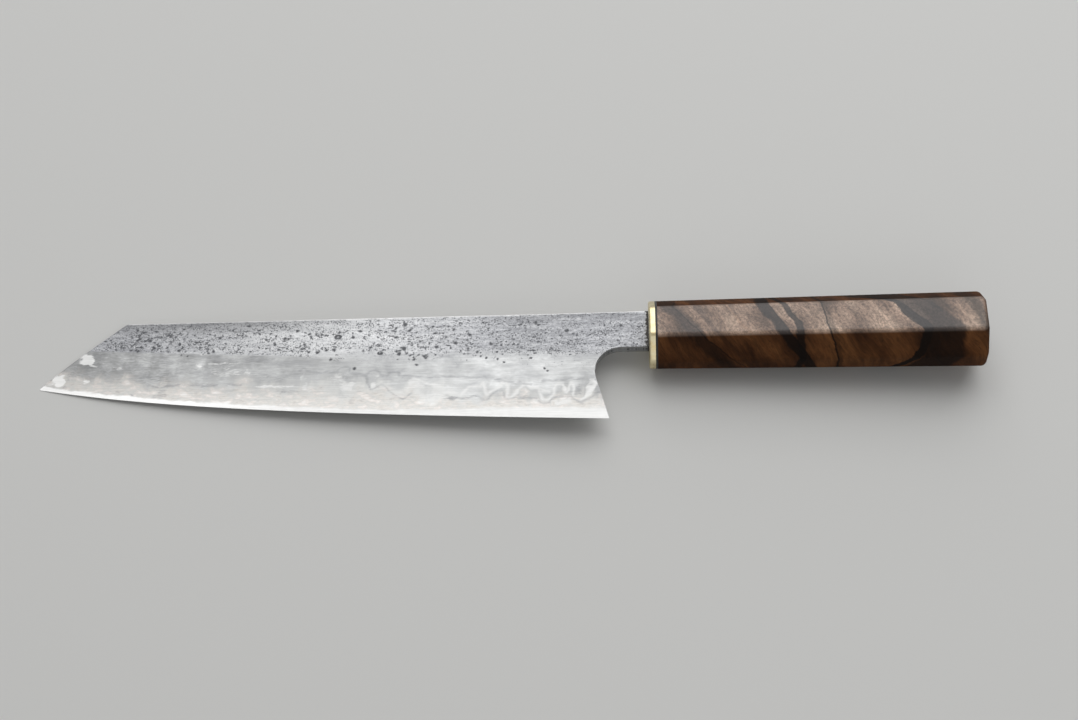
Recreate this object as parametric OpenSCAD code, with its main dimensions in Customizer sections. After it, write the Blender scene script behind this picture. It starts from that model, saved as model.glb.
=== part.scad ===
// Kiritsuke kitchen knife with a laminated blade and an eight-sided handle.
// The knife is drawn along its own length first: u runs from the tip to the butt, w from the
// cutting edge to the spine, and n through the thickness. It is then laid on a flat surface,
// where it rests on its tip and on the lower front edge of the collar.

/* [Blade outline] */
// Length of the cutting edge from tip to heel
edge_len = 210; // [200:1:225]
// Drop of the heel below the level of the tip
heel_drop = 16.25; // [14:0.25:18]
// Distance over which the belly of the edge straightens out
belly_reach = 66; // [50:1:90]
// Fall of the edge per millimetre in its straighter stretch
belly_fall = 0.0285; // [0.02:0.0005:0.04]
// Length of the angled point
point_len = 30; // [26:1:36]
// Height of the corner of the point above the tip
point_rise = 27.4; // [26:0.1:29]
// Height of the spine at the handle above the tip
spine_rise = 28; // [27:0.1:30]
// Radius of the finger notch behind the heel
notch_r = 9.8; // [9:0.1:10.5]
// Distance from the heel back to the collar
heel_gap = 15; // [14:0.5:18]
// Height of the neck that joins blade and handle
neck_h = 15.25; // [14:0.25:16.5]

/* [Blade section] */
// Spine thickness at the handle
neck_t = 3.6; // [3.2:0.1:4]
// Spine thickness above the heel
heel_t = 2.8; // [2.4:0.1:3]
// Spine thickness halfway along the blade
mid_t = 2.1; // [1.8:0.1:2.3]
// Spine thickness at the corner of the point
point_t = 1.5; // [1.2:0.1:1.7]
// Thickness that the flats would have at the very tip
tip_t = 0.9; // [0.7:0.1:1.1]
// Thickness left along the cutting edge
edge_t = 0.16; // [0.12:0.02:0.24]
// Share of the thickness that is hard core steel
core_share = 0.36; // [0.28:0.02:0.5]
// Height of the bare core steel above the cutting edge
bare_core_h = 7.4; // [5:0.2:8.6]
// Height of the waves in the weld line
weld_wave = 0.9; // [0.2:0.1:1.2]

/* [Tang] */
// Length of the tang behind the collar
tang_len = 90; // [70:1:92]
// Height of the tang where it leaves the neck
tang_h = 9.5; // [8:0.1:10]
// Height of the tang at its end
tang_end_h = 5; // [4:0.1:6]
// Thickness of the tang at its end
tang_end_t = 2.4; // [2:0.1:3]

/* [Handle] */
// Length of the handle with its collar
handle_len = 123; // [118:1:135]
// Height of the handle at the collar
front_h = 26.4; // [25:0.2:28]
// Thickness of the handle at the collar
front_t = 20.3; // [19:0.1:22]
// Height of the handle at the butt
butt_h = 27.8; // [26:0.2:30]
// Thickness of the handle at the butt
butt_t = 22.7; // [21:0.1:24]
// Legs of the chamfers that make the handle eight-sided
chamfer = 7.5; // [6.6:0.1:8]
// Height of the middle of the handle above the tip
handle_w = 18.7; // [18:0.1:19.2]
// Rounding between neighbouring sides of the handle
side_r = 2.4; // [1.2:0.1:3]
// Rounding of the butt
butt_r = 2.2; // [1:0.1:3]
// Thickness of the brass collar
collar_len = 2.4; // [2:0.1:4]
// Thickness of the black liner
liner_len = 0.8; // [0.6:0.1:1.5]
// Diameter of the bore for the dowel
dowel_bore_d = 13; // [12.6:0.1:14]
// Length of the dowel
dowel_len = 100; // [96:1:105]

/* [Hidden] */
$fn = 96;

steel_pale = "#d6d7d8";
steel_grey = "#8b8d90";
brass_pale = "#d9c58c";
liner_black = "#161514";
wood_brown = "#6d452c";
wood_plain = "#c9ab7e";
glue_dark = "#221c17";

// The layers of the blade meet with a small step that etching leaves at the weld
weld_step = 0.02;
// Extra height that a bevel carries over a straight wedge, as a share of its thickness
bevel_belly = 0.3;
// The point's back edge bows outwards by this power of its length
point_bow = 0.92;
// Flats and bevels part company at the shoulder line, which sinks towards the heel
shoulder_at_point = 17;
shoulder_at_heel = 6.5;
shoulder_bend = 0.9;
// Where the weld line and the shoulder line run out at the angled point
weld_out_u = 3.6;
shoulder_out_u = 17.9;
// Share of the straight cut above the heel at which the weld line runs out
weld_at_cut = 0.64;
// Wave lengths of the weld line
long_wave = 24;
short_wave = 10.5;
short_phase = 40;

// Stretches of the blade along u
mid_u = 100;
point_zone_u = 45;
heel_zone_u = edge_len - 20;
handle_start = edge_len + heel_gap;
notch_u = edge_len + 4.8;
neck_end = handle_start + collar_len;
tang_end = neck_end + tang_len;
full_neck_u = handle_start - 3;

// Play that the adhesive fills, and the cuts that take the neck and the tang
glue_gap = 0.3;
slot_h = 10.6;
slot_t = 4.4;
dowel_play = 0.05;
slot_reach = tang_len + 4;
through = 1;

// Collar edge, eased by a narrow bevel
collar_ease = 0.4;
butt_steps = 4;
side_steps = 3;

edge_half = edge_t / 2;
neck_w0 = spine_rise - neck_h;
tang_w = neck_w0 + neck_h / 2 - 1.3;
belly_depth = (heel_drop - belly_fall * edge_len) / (1 - exp(-edge_len / belly_reach));

// The finger notch: a straight cut from the heel, then an arc that runs into the neck
heel = [edge_len, -heel_drop];
notch_c = [notch_u, neck_w0 - notch_r];
notch_far = norm(notch_c - heel);
notch_lean = atan2(notch_c.y - heel.y, notch_c.x - heel.x) + asin(notch_r / notch_far);
notch_run = sqrt(notch_far ^ 2 - notch_r ^ 2);
notch_start = heel + notch_run * [cos(notch_lean), sin(notch_lean)];
notch_a0 = notch_lean + 90;
notch_a1 = 90;

// How the knife lies: the tip and the collar's lower front edge touch the surface
function handle_share(u) = (u - handle_start) / handle_len;
function handle_t(u) = mix(front_t, butt_t, handle_share(u));
function handle_h(u) = mix(front_h, butt_h, handle_share(u));
collar_touch_u = handle_start + collar_ease;
tilt = atan((handle_t(collar_touch_u) / 2 - edge_half) / collar_touch_u);
lift = edge_half * cos(tilt);
reach_x = (handle_start + handle_len) * cos(tilt) + (butt_t / 2 - butt_r) * sin(tilt);
centre_x = reach_x / 2;
centre_y = (handle_w + butt_h / 2 - heel_drop) / 2;

function mix(a, b, s) = a + (b - a) * s;

// Outline and lines on the side of the blade
function edge_w(u) = -(belly_fall * u + belly_depth * (1 - exp(-u / belly_reach)));
function spine_w(u) =
    min(spine_rise, mix(point_rise, spine_rise, (u - point_len) / (full_neck_u - point_len)));
function point_w(u) = point_rise * pow(u / point_len, point_bow);
function shoulder_w(u) =
    mix(shoulder_at_point, shoulder_at_heel, pow(min(u, edge_len) / edge_len, shoulder_bend));
function weld_w(u) = edge_w(u) + bare_core_h;
function wave(u) =
    weld_wave * (sin(360 * u / long_wave) + 0.6 * sin(360 * u / short_wave + short_phase));

// Half thickness of the whole blade at a place on its side
function flat_half(u) = lookup(u, [
    [0, tip_t / 2],
    [point_len, point_t / 2],
    [mid_u, mid_t / 2],
    [heel_zone_u, heel_t / 2],
    [full_neck_u, neck_t / 2],
    [neck_end, neck_t / 2],
    [tang_end, tang_end_t / 2]
]);
function bevel_share(s) = s >= 1 ? 1 : s + bevel_belly * s * (1 - s);
function blade_half(u, w) =
    mix(edge_half, flat_half(u), bevel_share((w - edge_w(u)) / (shoulder_w(u) - edge_w(u))));

// The side of the blade is a net of columns along u and rows from the edge to the spine.
// Rows follow the edge, the weld line and the shoulder; the last column before the neck
// follows the finger notch.
weld_row = 2;
notch_row = 4;
shoulder_row = 6;
neck_row = 10;
tang_row = 11;
spine_row = 13;
point_cols = 9;
side_cols = 46;
heel_cols = 6;
neck_cols = 2;
tang_cols = 2;
side_col = point_cols;
heel_col = side_col + side_cols;
neck_col = heel_col + heel_cols;
tang_col = neck_col + neck_cols;
last_col = tang_col + tang_cols;

function by_row(j, at_edge, at_weld, at_shoulder, at_spine) =
    j <= weld_row ? mix(at_edge, at_weld, j / weld_row) :
    j <= shoulder_row ? mix(at_weld, at_shoulder, (j - weld_row) / (shoulder_row - weld_row)) :
    mix(at_shoulder, at_spine, (j - shoulder_row) / (spine_row - shoulder_row));
function side_pos(u, j) = [u, by_row(j, edge_w(u), weld_w(u), shoulder_w(u), spine_w(u))];
function point_u(j) = by_row(j, 0, weld_out_u, shoulder_out_u, point_len);
function point_pos(j) = [point_u(j), point_w(point_u(j))];
function neck_pos(u, j) = [u, lookup(j, [
    [neck_row, neck_w0],
    [tang_row, tang_w - tang_h / 2],
    [tang_row + 1, tang_w + tang_h / 2],
    [spine_row, spine_rise]
])];
function notch_arc(a) = notch_c + notch_r * [cos(a), sin(a)];
function notch_pos(j) =
    j <= weld_row ? mix(heel, notch_start, weld_at_cut * j / weld_row) :
    j <= notch_row ? mix(heel, notch_start, mix(weld_at_cut, 1, (j - weld_row) / (notch_row - weld_row))) :
    j <= neck_row ? notch_arc(mix(notch_a0, notch_a1, (j - notch_row) / (neck_row - notch_row))) :
    neck_pos(notch_u, j);
function tang_pos(s, j) =
    [mix(neck_end, tang_end, s), tang_w + (j - tang_row - 0.5) * mix(tang_h, tang_end_h, s)];

// A zone's column: row 0 keeps to the true edge, the others run straight across the zone
function zone_pos(from, to, s, j) =
    j == 0 ? [mix(from.x, to.x, s), edge_w(mix(from.x, to.x, s))] : mix(from, to, s);
function waved(pos, j, amount) = j == weld_row ? pos + [0, amount * wave(pos.x)] : pos;
function net_pos(i, j) =
    i <= side_col ?
        waved(zone_pos(point_pos(j), side_pos(point_zone_u, j), i / point_cols, j), j, i / point_cols) :
    i <= heel_col ?
        waved(side_pos(mix(point_zone_u, heel_zone_u, (i - side_col) / side_cols), j), j, 1) :
    i <= neck_col ?
        waved(zone_pos(side_pos(heel_zone_u, j), notch_pos(j), (i - heel_col) / heel_cols, j),
              j, 1 - (i - heel_col) / heel_cols) :
    i <= tang_col ?
        neck_pos(mix(notch_u, neck_end, (i - neck_col) / neck_cols), j) :
    tang_pos((i - tang_col) / tang_cols, j);

// Which cells of the net the steel fills
function filled(i, j, first_row, first_col) =
    i >= first_col && i < last_col && j < spine_row &&
    j >= (i < neck_col ? first_row : i < tang_col ? neck_row : tang_row) &&
    (i < tang_col || j == tang_row);

// Heights of the two faces of the core above the middle plane of the blade
function outer_half(i, j) = blade_half(net_pos(i, j).x, net_pos(i, j).y);
function core_half(i, j) =
    j < weld_row ? outer_half(i, j) :
    j == weld_row ? outer_half(i, j) - weld_step :
    core_share * outer_half(i, j);

function net_index(i, j) = i * (spine_row + 1) + j;
function quad(a, b, c, d) = [[a, b, c], [a, c, d]];
function flatten(l) = [for (part = l) each part];

// A closed layer of the blade between two heights over the filled cells of the net
module steel_layer(first_row, first_col, low, high) {
    net = [for (i = [0 : last_col]) for (j = [0 : spine_row]) [i, j]];
    lows = [for (c = net) [each net_pos(c.x, c.y), low(c.x, c.y)]];
    highs = [for (c = net) [each net_pos(c.x, c.y), high(c.x, c.y)]];
    top = len(net);
    cells = [for (c = net) if (filled(c.x, c.y, first_row, first_col)) c];
    faces = [for (c = cells) let (
            i = c.x,
            j = c.y,
            a = net_index(i, j),
            b = net_index(i, j + 1),
            d = net_index(i + 1, j),
            e = net_index(i + 1, j + 1)
        ) each flatten([
            quad(top + a, top + b, top + e, top + d),
            quad(a, d, e, b),
            filled(i, j - 1, first_row, first_col) ? [] : quad(a, top + a, top + d, d),
            filled(i, j + 1, first_row, first_col) ? [] : quad(e, top + e, top + b, b),
            filled(i - 1, j, first_row, first_col) ? [] : quad(b, top + b, top + a, a),
            filled(i + 1, j, first_row, first_col) ? [] : quad(d, top + d, top + e, e)
        ])];
    polyhedron([each lows, each highs], faces);
}

// Cross-section of the handle: eight sides with softly rounded corners between them
function corner_at(k, h, t, c) =
    let (
        across = [h / 2, h / 2 - c, -(h / 2 - c), -h / 2, -h / 2, -(h / 2 - c), h / 2 - c, h / 2],
        up = [t / 2 - c, t / 2, t / 2, t / 2 - c, -(t / 2 - c), -t / 2, -t / 2, -(t / 2 - c)]
    ) [across[k], up[k]];
function handle_ring(u, inset) =
    let (
        h = handle_h(u) - 2 * inset,
        t = handle_t(u) - 2 * inset,
        c = chamfer - inset * (2 - sqrt(2))
    ) [
        for (k = [0 : 7], s = [0 : side_steps])
            let (
                a = 45 * (k + s / side_steps),
                mid_a = 45 * k + 22.5,
                centre = corner_at(k, h, t, c) - side_r / cos(22.5) * [cos(mid_a), sin(mid_a)],
                p = centre + side_r * [cos(a), sin(a)]
            ) [u, handle_w + p.x, p.y]
    ];

// A length of handle through rings that are given as [u, inset]
module handle_stretch(rings) {
    points = [for (r = rings) each handle_ring(r[0], r[1])];
    around = 8 * (side_steps + 1);
    last = len(rings) - 1;
    sides = [
        for (i = [0 : last - 1], k = [0 : around - 1])
            let (n = (k + 1) % around)
            [i * around + k, (i + 1) * around + k, (i + 1) * around + n, i * around + n]
    ];
    front = [for (k = [0 : around - 1]) k];
    back = [for (k = [around - 1 : -1 : 0]) last * around + k];
    polyhedron(points, [each sides, front, back]);
}

// A block from one u to another, centred on a height, for slots and the adhesive
module slot_block(from_u, to_u, middle_w, height, thickness) {
    translate([from_u, middle_w - height / 2, -thickness / 2])
        cube([to_u - from_u, height, thickness]);
}

module round_bar(from_u, to_u, r) {
    translate([from_u, handle_w, 0])
        rotate([0, 90, 0])
            cylinder(h = to_u - from_u, r = r);
}

module collar_slot(from_u, to_u) {
    slot_block(from_u, to_u, neck_w0 + neck_h / 2, neck_h + 2 * glue_gap, neck_t + 2 * glue_gap);
}

// Lays the knife on the surface, with the middle of its outline over the origin
module laid() {
    translate([-centre_x, -centre_y, lift])
        rotate([0, -tilt, 0])
            children();
}

module core_steel() {
    color(steel_pale)
        laid()
            steel_layer(0, 0, function(i, j) -core_half(i, j), function(i, j) core_half(i, j));
}

module cladding_left() {
    color(steel_grey)
        laid()
            steel_layer(weld_row, 0, function(i, j) core_half(i, j), function(i, j) outer_half(i, j));
}

module cladding_right() {
    color(steel_grey)
        laid()
            steel_layer(weld_row, 0, function(i, j) -outer_half(i, j), function(i, j) -core_half(i, j));
}

module brass_collar() {
    color(brass_pale)
        laid()
            difference() {
                handle_stretch([[handle_start, collar_ease], [collar_touch_u, 0], [neck_end, 0]]);
                collar_slot(handle_start - through, neck_end + through);
            }
}

module black_liner() {
    color(liner_black)
        laid()
            difference() {
                handle_stretch([[neck_end, 0], [neck_end + liner_len, 0]]);
                round_bar(neck_end - through, neck_end + liner_len + through, dowel_bore_d / 2);
            }
}

module handle_body() {
    butt_u = handle_start + handle_len;
    rounding = [
        for (k = [0 : butt_steps])
            let (a = 90 * k / butt_steps)
            [butt_u - butt_r * (1 - sin(a)), butt_r * (1 - cos(a))]
    ];
    color(wood_brown)
        laid()
            difference() {
                handle_stretch([[neck_end + liner_len, 0], each rounding]);
                round_bar(neck_end - through, neck_end + dowel_len, dowel_bore_d / 2);
            }
}

module handle_dowel() {
    color(wood_plain)
        laid()
            difference() {
                round_bar(neck_end, neck_end + dowel_len, dowel_bore_d / 2 - dowel_play);
                slot_block(neck_end - through, neck_end + slot_reach, tang_w, slot_h, slot_t);
            }
}

module tang_adhesive() {
    color(glue_dark)
        laid()
            difference() {
                union() {
                    collar_slot(handle_start, neck_end);
                    slot_block(neck_end, neck_end + slot_reach, tang_w, slot_h, slot_t);
                }
                steel_layer(0, neck_col, function(i, j) -outer_half(i, j),
                            function(i, j) outer_half(i, j));
            }
}

core_steel();
cladding_left();
cladding_right();
brass_collar();
black_liner();
handle_body();
handle_dowel();
tang_adhesive();
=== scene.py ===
"""Kiritsuke knife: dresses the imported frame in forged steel, brass, black liner and figured wood."""
import logging
import math
import random
from dataclasses import dataclass
from enum import Enum
from typing import Callable, Mapping, Sequence

import bmesh
import bpy
from mathutils import Matrix, Vector, kdtree, noise


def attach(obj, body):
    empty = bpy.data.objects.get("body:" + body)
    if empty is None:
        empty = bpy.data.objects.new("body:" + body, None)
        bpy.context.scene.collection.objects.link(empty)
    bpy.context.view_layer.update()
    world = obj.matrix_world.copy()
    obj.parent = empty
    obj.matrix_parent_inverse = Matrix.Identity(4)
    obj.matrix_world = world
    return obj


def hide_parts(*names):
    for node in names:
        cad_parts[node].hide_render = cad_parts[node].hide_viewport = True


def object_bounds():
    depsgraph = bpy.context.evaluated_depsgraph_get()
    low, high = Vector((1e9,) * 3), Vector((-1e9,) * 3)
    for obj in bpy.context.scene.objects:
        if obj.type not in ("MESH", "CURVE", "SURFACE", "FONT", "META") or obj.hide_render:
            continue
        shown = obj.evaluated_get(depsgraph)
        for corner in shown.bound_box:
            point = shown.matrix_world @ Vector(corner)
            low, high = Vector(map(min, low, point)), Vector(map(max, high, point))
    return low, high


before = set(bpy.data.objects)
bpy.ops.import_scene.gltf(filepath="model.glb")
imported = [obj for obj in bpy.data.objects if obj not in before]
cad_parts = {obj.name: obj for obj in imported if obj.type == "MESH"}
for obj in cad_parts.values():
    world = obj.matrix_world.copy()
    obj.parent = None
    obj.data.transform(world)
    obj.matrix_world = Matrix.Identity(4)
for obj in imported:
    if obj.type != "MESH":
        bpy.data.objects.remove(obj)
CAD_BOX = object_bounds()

LOG = logging.getLogger("kiritsuke")
MM = 0.001
BODY = "root"

# Points closer than this are one point: in metres, and in millimetres or in columns and rows
SAME_PLACE = 1e-7
SAME_STEP = 1e-4

# Makes the noise that frays pits, clouds and lines the same on each run; this one keeps the rings
NOISE_SEED = 17

Pair = tuple[float, float]
Line = tuple[Pair, ...]
Steps = tuple[tuple[float, int], ...]
Colour = tuple[float, float, float, float]
Reader = Callable[[float, float], dict[str, float]]
Mesh = bmesh.types.BMesh
Material = bpy.types.Material
Socket = bpy.types.NodeSocket


class Side(Enum):
    """The two broad sides of the blade."""

    LEFT = 1
    RIGHT = -1


def linear(code: str) -> Colour:
    """Turns an sRGB hex colour into the linear colour that the shaders take.

    Args:
        code: Six hex digits with a leading hash.

    Returns:
        Linear red, green, blue and an alpha of 1.
    """
    parts = [int(code[i:i + 2], 16) / 255 for i in (1, 3, 5)]
    lit = [p / 12.92 if p <= 0.04045 else ((p + 0.055) / 1.055) ** 2.4 for p in parts]
    return (lit[0], lit[1], lit[2], 1.0)


def mix(a: float, b: float, share: float) -> float:
    """Returns the value that lies the given share of the way from a to b."""
    return a + (b - a) * share


def along_table(x: float, points: Sequence[Pair]) -> float:
    """Reads a value off straight lines between points.

    Args:
        x: Where to read.
        points: Pairs of place and value, in rising order of place.

    Returns:
        The value at x, held level beyond both ends.
    """
    if x <= points[0][0]:
        return points[0][1]
    for (x0, y0), (x1, y1) in zip(points, points[1:]):
        if x <= x1:
            return mix(y0, y1, (x - x0) / (x1 - x0))
    return points[-1][1]


# How these kinds of node work here, unless they are told otherwise
USUAL: Mapping[str, Mapping[str, object]] = {
    "MapRange": {"interpolation_type": "SMOOTHSTEP"},
    "Math": {"operation": "MULTIPLY_ADD"},
    "Mix": {"data_type": "RGBA"},
}


@dataclass(frozen=True)
class Tree:
    """A node tree, and the steps that all finishes share."""

    graph: bpy.types.NodeTree

    def give(self, socket: Socket, value: object) -> None:
        """Gives an input its source or its value.

        Args:
            socket: The input.
            value: A source to link, a number, several numbers or a hex colour.
        """
        if isinstance(value, Socket):
            self.graph.links.new(value, socket)
        else:
            socket.default_value = linear(value) if isinstance(value, str) else value

    def add(self, kind: str, *values: object, **settings: object) -> Socket:
        """Adds one shader node.

        Args:
            kind: Blender's name for the node, without the leading ShaderNode. A word after a dot is
                its operation or, for a mix of colours, how they blend.
            *values: What its inputs get, in their order. A colour ramp takes its stops after its
                input, as pairs of place and hex colour or grey value.
            **settings: Node properties, and what inputs get by name.

        Returns:
            The node's first output in use, or its first input where it has no output.
        """
        name, _, mode = kind.partition(".")
        node = self.graph.nodes.new("ShaderNode" + name)
        chosen = {("blend_type" if name == "Mix" else "operation"): mode} if mode else {}
        for key, value in {**USUAL.get(name, {}), **chosen, **settings}.items():
            if hasattr(node, key):
                setattr(node, key, value)
            else:
                self.give(node.inputs[key], value)
        # A new ramp has two stops, and the values after its input are its stops
        if name == "ValToRGB":
            ramp = node.color_ramp.elements
            while len(ramp) < len(values) - 1:
                ramp.new(1.0)
            for element, (place, shade) in zip(ramp, sorted(values[1:])):
                element.position = place
                element.color = linear(shade) if isinstance(shade, str) else (shade, shade, shade, 1.0)
        for socket, value in zip([socket for socket in node.inputs if socket.enabled], values):
            self.give(socket, value)
        sources = [out for out in node.outputs if out.enabled]
        return sources[0] if sources else node.inputs[0]

    def grain(self, place: Socket, repeats: Sequence[float], detail: float = 3.0, rough: float = 0.55,
              out: str = "Fac") -> Socket:
        """Adds a noise over a place that is scaled first.

        Args:
            place: The place to read.
            repeats: Repeats per unit of place, for each of the three axes.
            detail: How many finer layers the noise gets.
            rough: How strong the finer layers are.
            out: Which of the noise's outputs to use.

        Returns:
            The noise's socket.
        """
        scaled = self.add("Mapping", place, Scale=tuple(repeats))
        return self.add("TexNoise", scaled, 1.0, detail, rough).node.outputs[out]

    def curled(self, place: Socket, repeats: Sequence[float], reach: Sequence[float]) -> Socket:
        """Pushes a place about, so that what is drawn on it curls.

        Args:
            place: The place to push.
            repeats: Curls per unit of place, for each of the three axes.
            reach: Twice the greatest push, for each of the three axes.

        Returns:
            The pushed place.
        """
        swirl = self.grain(place, repeats, 2.0, 0.5, "Color")
        push = self.add("VectorMath.SUBTRACT", swirl, (0.5, 0.5, 0.5))
        return self.add("VectorMath.MULTIPLY_ADD", push, tuple(reach), place)

    def seen_directly(self) -> Socket:
        """Tells what is seen from the light that it gives.

        Returns:
            1 for what the camera, or a shiny or clear surface, sees, and 0 for the rest.
        """
        ray = self.add("LightPath").node.outputs
        seen = self.add("Math.MAXIMUM", ray["Is Camera Ray"], ray["Is Glossy Ray"])
        return self.add("Math.MAXIMUM", seen, ray["Is Transmission Ray"])


@dataclass(frozen=True)
class Lay:
    """How the knife lies: turns its own u, w and n in millimetres into the frame's metres."""

    tilt: float
    lift: float
    centre_x: float
    centre_y: float

    def place(self, u: float, w: float, n: float) -> Vector:
        """Carries a point of the knife into the frame.

        Args:
            u: From the tip to the butt.
            w: From the edge to the spine.
            n: Out of the left side.

        Returns:
            The point of the frame.
        """
        x = u * math.cos(self.tilt) - n * math.sin(self.tilt) - self.centre_x
        z = u * math.sin(self.tilt) + n * math.cos(self.tilt) + self.lift
        return Vector((x, w - self.centre_y, z)) * MM


@dataclass(frozen=True)
class Spot:
    """Something round or oval on the blade, in millimetres: its place, its stretch and its turn."""

    u: float
    w: float
    radius: float
    stretch: float = 1.0
    turn_deg: float = 0.0

    def far(self, u: float, w: float) -> float:
        """Measures how far a place is from the middle.

        Args:
            u: Place along the blade.
            w: Place across it.

        Returns:
            The distance, as a share of the way to the rim.
        """
        turn = math.radians(self.turn_deg)
        du = ((u - self.u) * math.cos(turn) + (w - self.w) * math.sin(turn)) / self.stretch
        dw = (w - self.w) * math.cos(turn) - (u - self.u) * math.sin(turn)
        return math.hypot(du, dw) / self.radius


# The middle and the half width of a pit's ring, as shares of the way to its rim
RING_AT, RING_HALF = 0.62, 0.46


@dataclass(frozen=True)
class Pit(Spot):
    """One forging pit, or one that left only its ring."""

    ring: bool = False

    def depth(self, u: float, w: float) -> float:
        """Returns 1 in the pit's middle, 0 on its rim and less outside."""
        far = self.far(u, w)
        return 1.0 - abs(far - RING_AT) / RING_HALF if self.ring else 1.0 - far


@dataclass(frozen=True)
class Cloud(Spot):
    """A paler or, with a negative strength, darker cloud in the polish; the strong pale ones near the
    point are painted glints.
    """

    strength: float = 1.0

    def value(self, u: float, w: float, push: Vector) -> float:
        """Returns the cloud's strength at a place; the push sways the rims of the broad ones."""
        sway = min(1.0, self.radius / 2)
        return self.strength * max(0.0, 1.0 - self.far(u + push.x * sway, w + push.y * sway) ** 4)


FORGE_PITS = tuple(Pit(*row) for row in (
    (109.8, 19.8, 1.15, 1.3, 0, True), (115.4, 19.5, 0.75, 1.2), (118.0, 22.2, 0.45, 3.4, -8),
    (113.0, 22.5, 0.3, 3.0), (105.6, 20.4, 0.35, 2.2, 10), (131.6, 19.1, 0.65, 1.9),
    (134.7, 24.6, 0.95, 1.1), (131.3, 23.2, 0.6, 0.9, 60), (136.4, 22.0, 0.6, 1.9, 25),
    (139.0, 21.0, 0.45, 1.2), (129.3, 24.4, 0.4, 2.0), (139.4, 18.8, 0.4, 2.0), (90.0, 19.6, 0.75, 1.2),
    (86.4, 17.1, 0.75), (94.5, 22.8, 0.6, 1.4, 30), (97.5, 22.0, 0.45, 1.3), (102.3, 13.3, 0.7),
    (96.5, 15.1, 0.55, 1.2), (99.2, 13.5, 0.45, 1.1), (105.8, 14.1, 0.7, 1.1), (108.6, 14.2, 0.8, 1.2),
    (114.4, 15.0, 0.45, 2.2), (107.6, 10.1, 0.5, 1.6, 35), (116.6, 6.1, 0.75), (122.2, 15.0, 0.5, 1.8),
    (125.8, 12.4, 0.8, 1.4, 0, True), (127.0, 13.8, 0.4, 1.8, 20), (131.9, 13.1, 0.65, 1.1),
    (133.0, 12.0, 0.8, 0.8, 0, True), (135.8, 12.3, 0.5, 1.3), (134.6, 14.7, 0.6, 1.8),
    (142.3, 10.6, 0.5, 2.8, -35), (139.6, 7.1, 0.6, 1.5, -15), (141.7, 14.7, 0.45), (146.6, 14.6, 0.85),
    (146.0, 20.5, 0.6, 1.7), (152.8, 21.9, 0.55, 1.2, 30), (152.0, 19.6, 0.5, 1.7),
    (153.6, 16.4, 0.55, 2.0), (151.9, 14.0, 0.6), (158.8, 19.6, 0.6, 1.8, -20), (166.8, 15.5, 0.8, 1.2),
    (161.8, 12.1, 0.7), (163.0, 10.2, 0.45, 1.3), (165.2, 9.5, 0.55), (169.3, 8.9, 0.6),
    (158.4, 11.4, 0.45, 1.9), (171.6, 7.5, 0.4, 1.6, 20), (169.0, 12.0, 0.6), (166.9, 19.8, 0.4, 2.0),
    (183.0, 11.0, 0.5, 1.4, -20), (186.6, 4.5, 0.4, 1.3, -40), (187.7, 3.4, 0.5),
    (194.8, 20.4, 0.75, 1.4, 20), (197.2, 19.0, 0.5, 1.6, 30), (203.6, 18.5, 0.35, 2.6, 28),
    (214.8, 21.9, 0.85), (214.6, 23.4, 0.4), (213.3, 19.6, 0.45, 1.1, 60), (219.5, 21.6, 0.4, 2.0, 35),
    (24.3, 20.5, 0.5), (26.2, 19.2, 0.45, 1.4), (28.6, 17.5, 0.5, 1.1), (32.5, 16.0, 0.45, 1.8, 15),
    (35.2, 20.9, 0.3, 3.0, 85), (41.2, 16.6, 0.6, 1.3, 60), (42.2, 18.1, 0.45, 1.2, 40),
    (40.4, 15.9, 0.4), (50.4, 15.3, 0.6), (50.4, 18.3, 0.4, 2.4, 80), (53.9, 12.9, 0.4, 1.2),
    (56.4, 15.0, 0.35, 1.1), (61.2, 14.9, 0.4, 1.3, 80), (61.0, 18.3, 0.45, 1.1),
    (67.8, 18.0, 0.45, 1.4), (47.2, 19.4, 0.4, 1.7), (45.3, 19.3, 0.35, 1.2), (55.0, 19.2, 0.4, 1.5),
    (48.1, 23.5, 0.4), (42.0, 23.7, 0.4), (39.8, 21.0, 0.4, 1.3), (70.2, 23.6, 0.35, 2.6, -50),
    (73.8, 21.2, 0.4, 1.3), (66.5, 16.6, 0.3), (59.7, 13.7, 0.4), (76.0, 25.4, 0.5, 2.2),
    (80.0, 23.4, 0.4, 2.2),
))

# Clouds in the polish; the strongest pale ones near the point are painted glints
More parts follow.
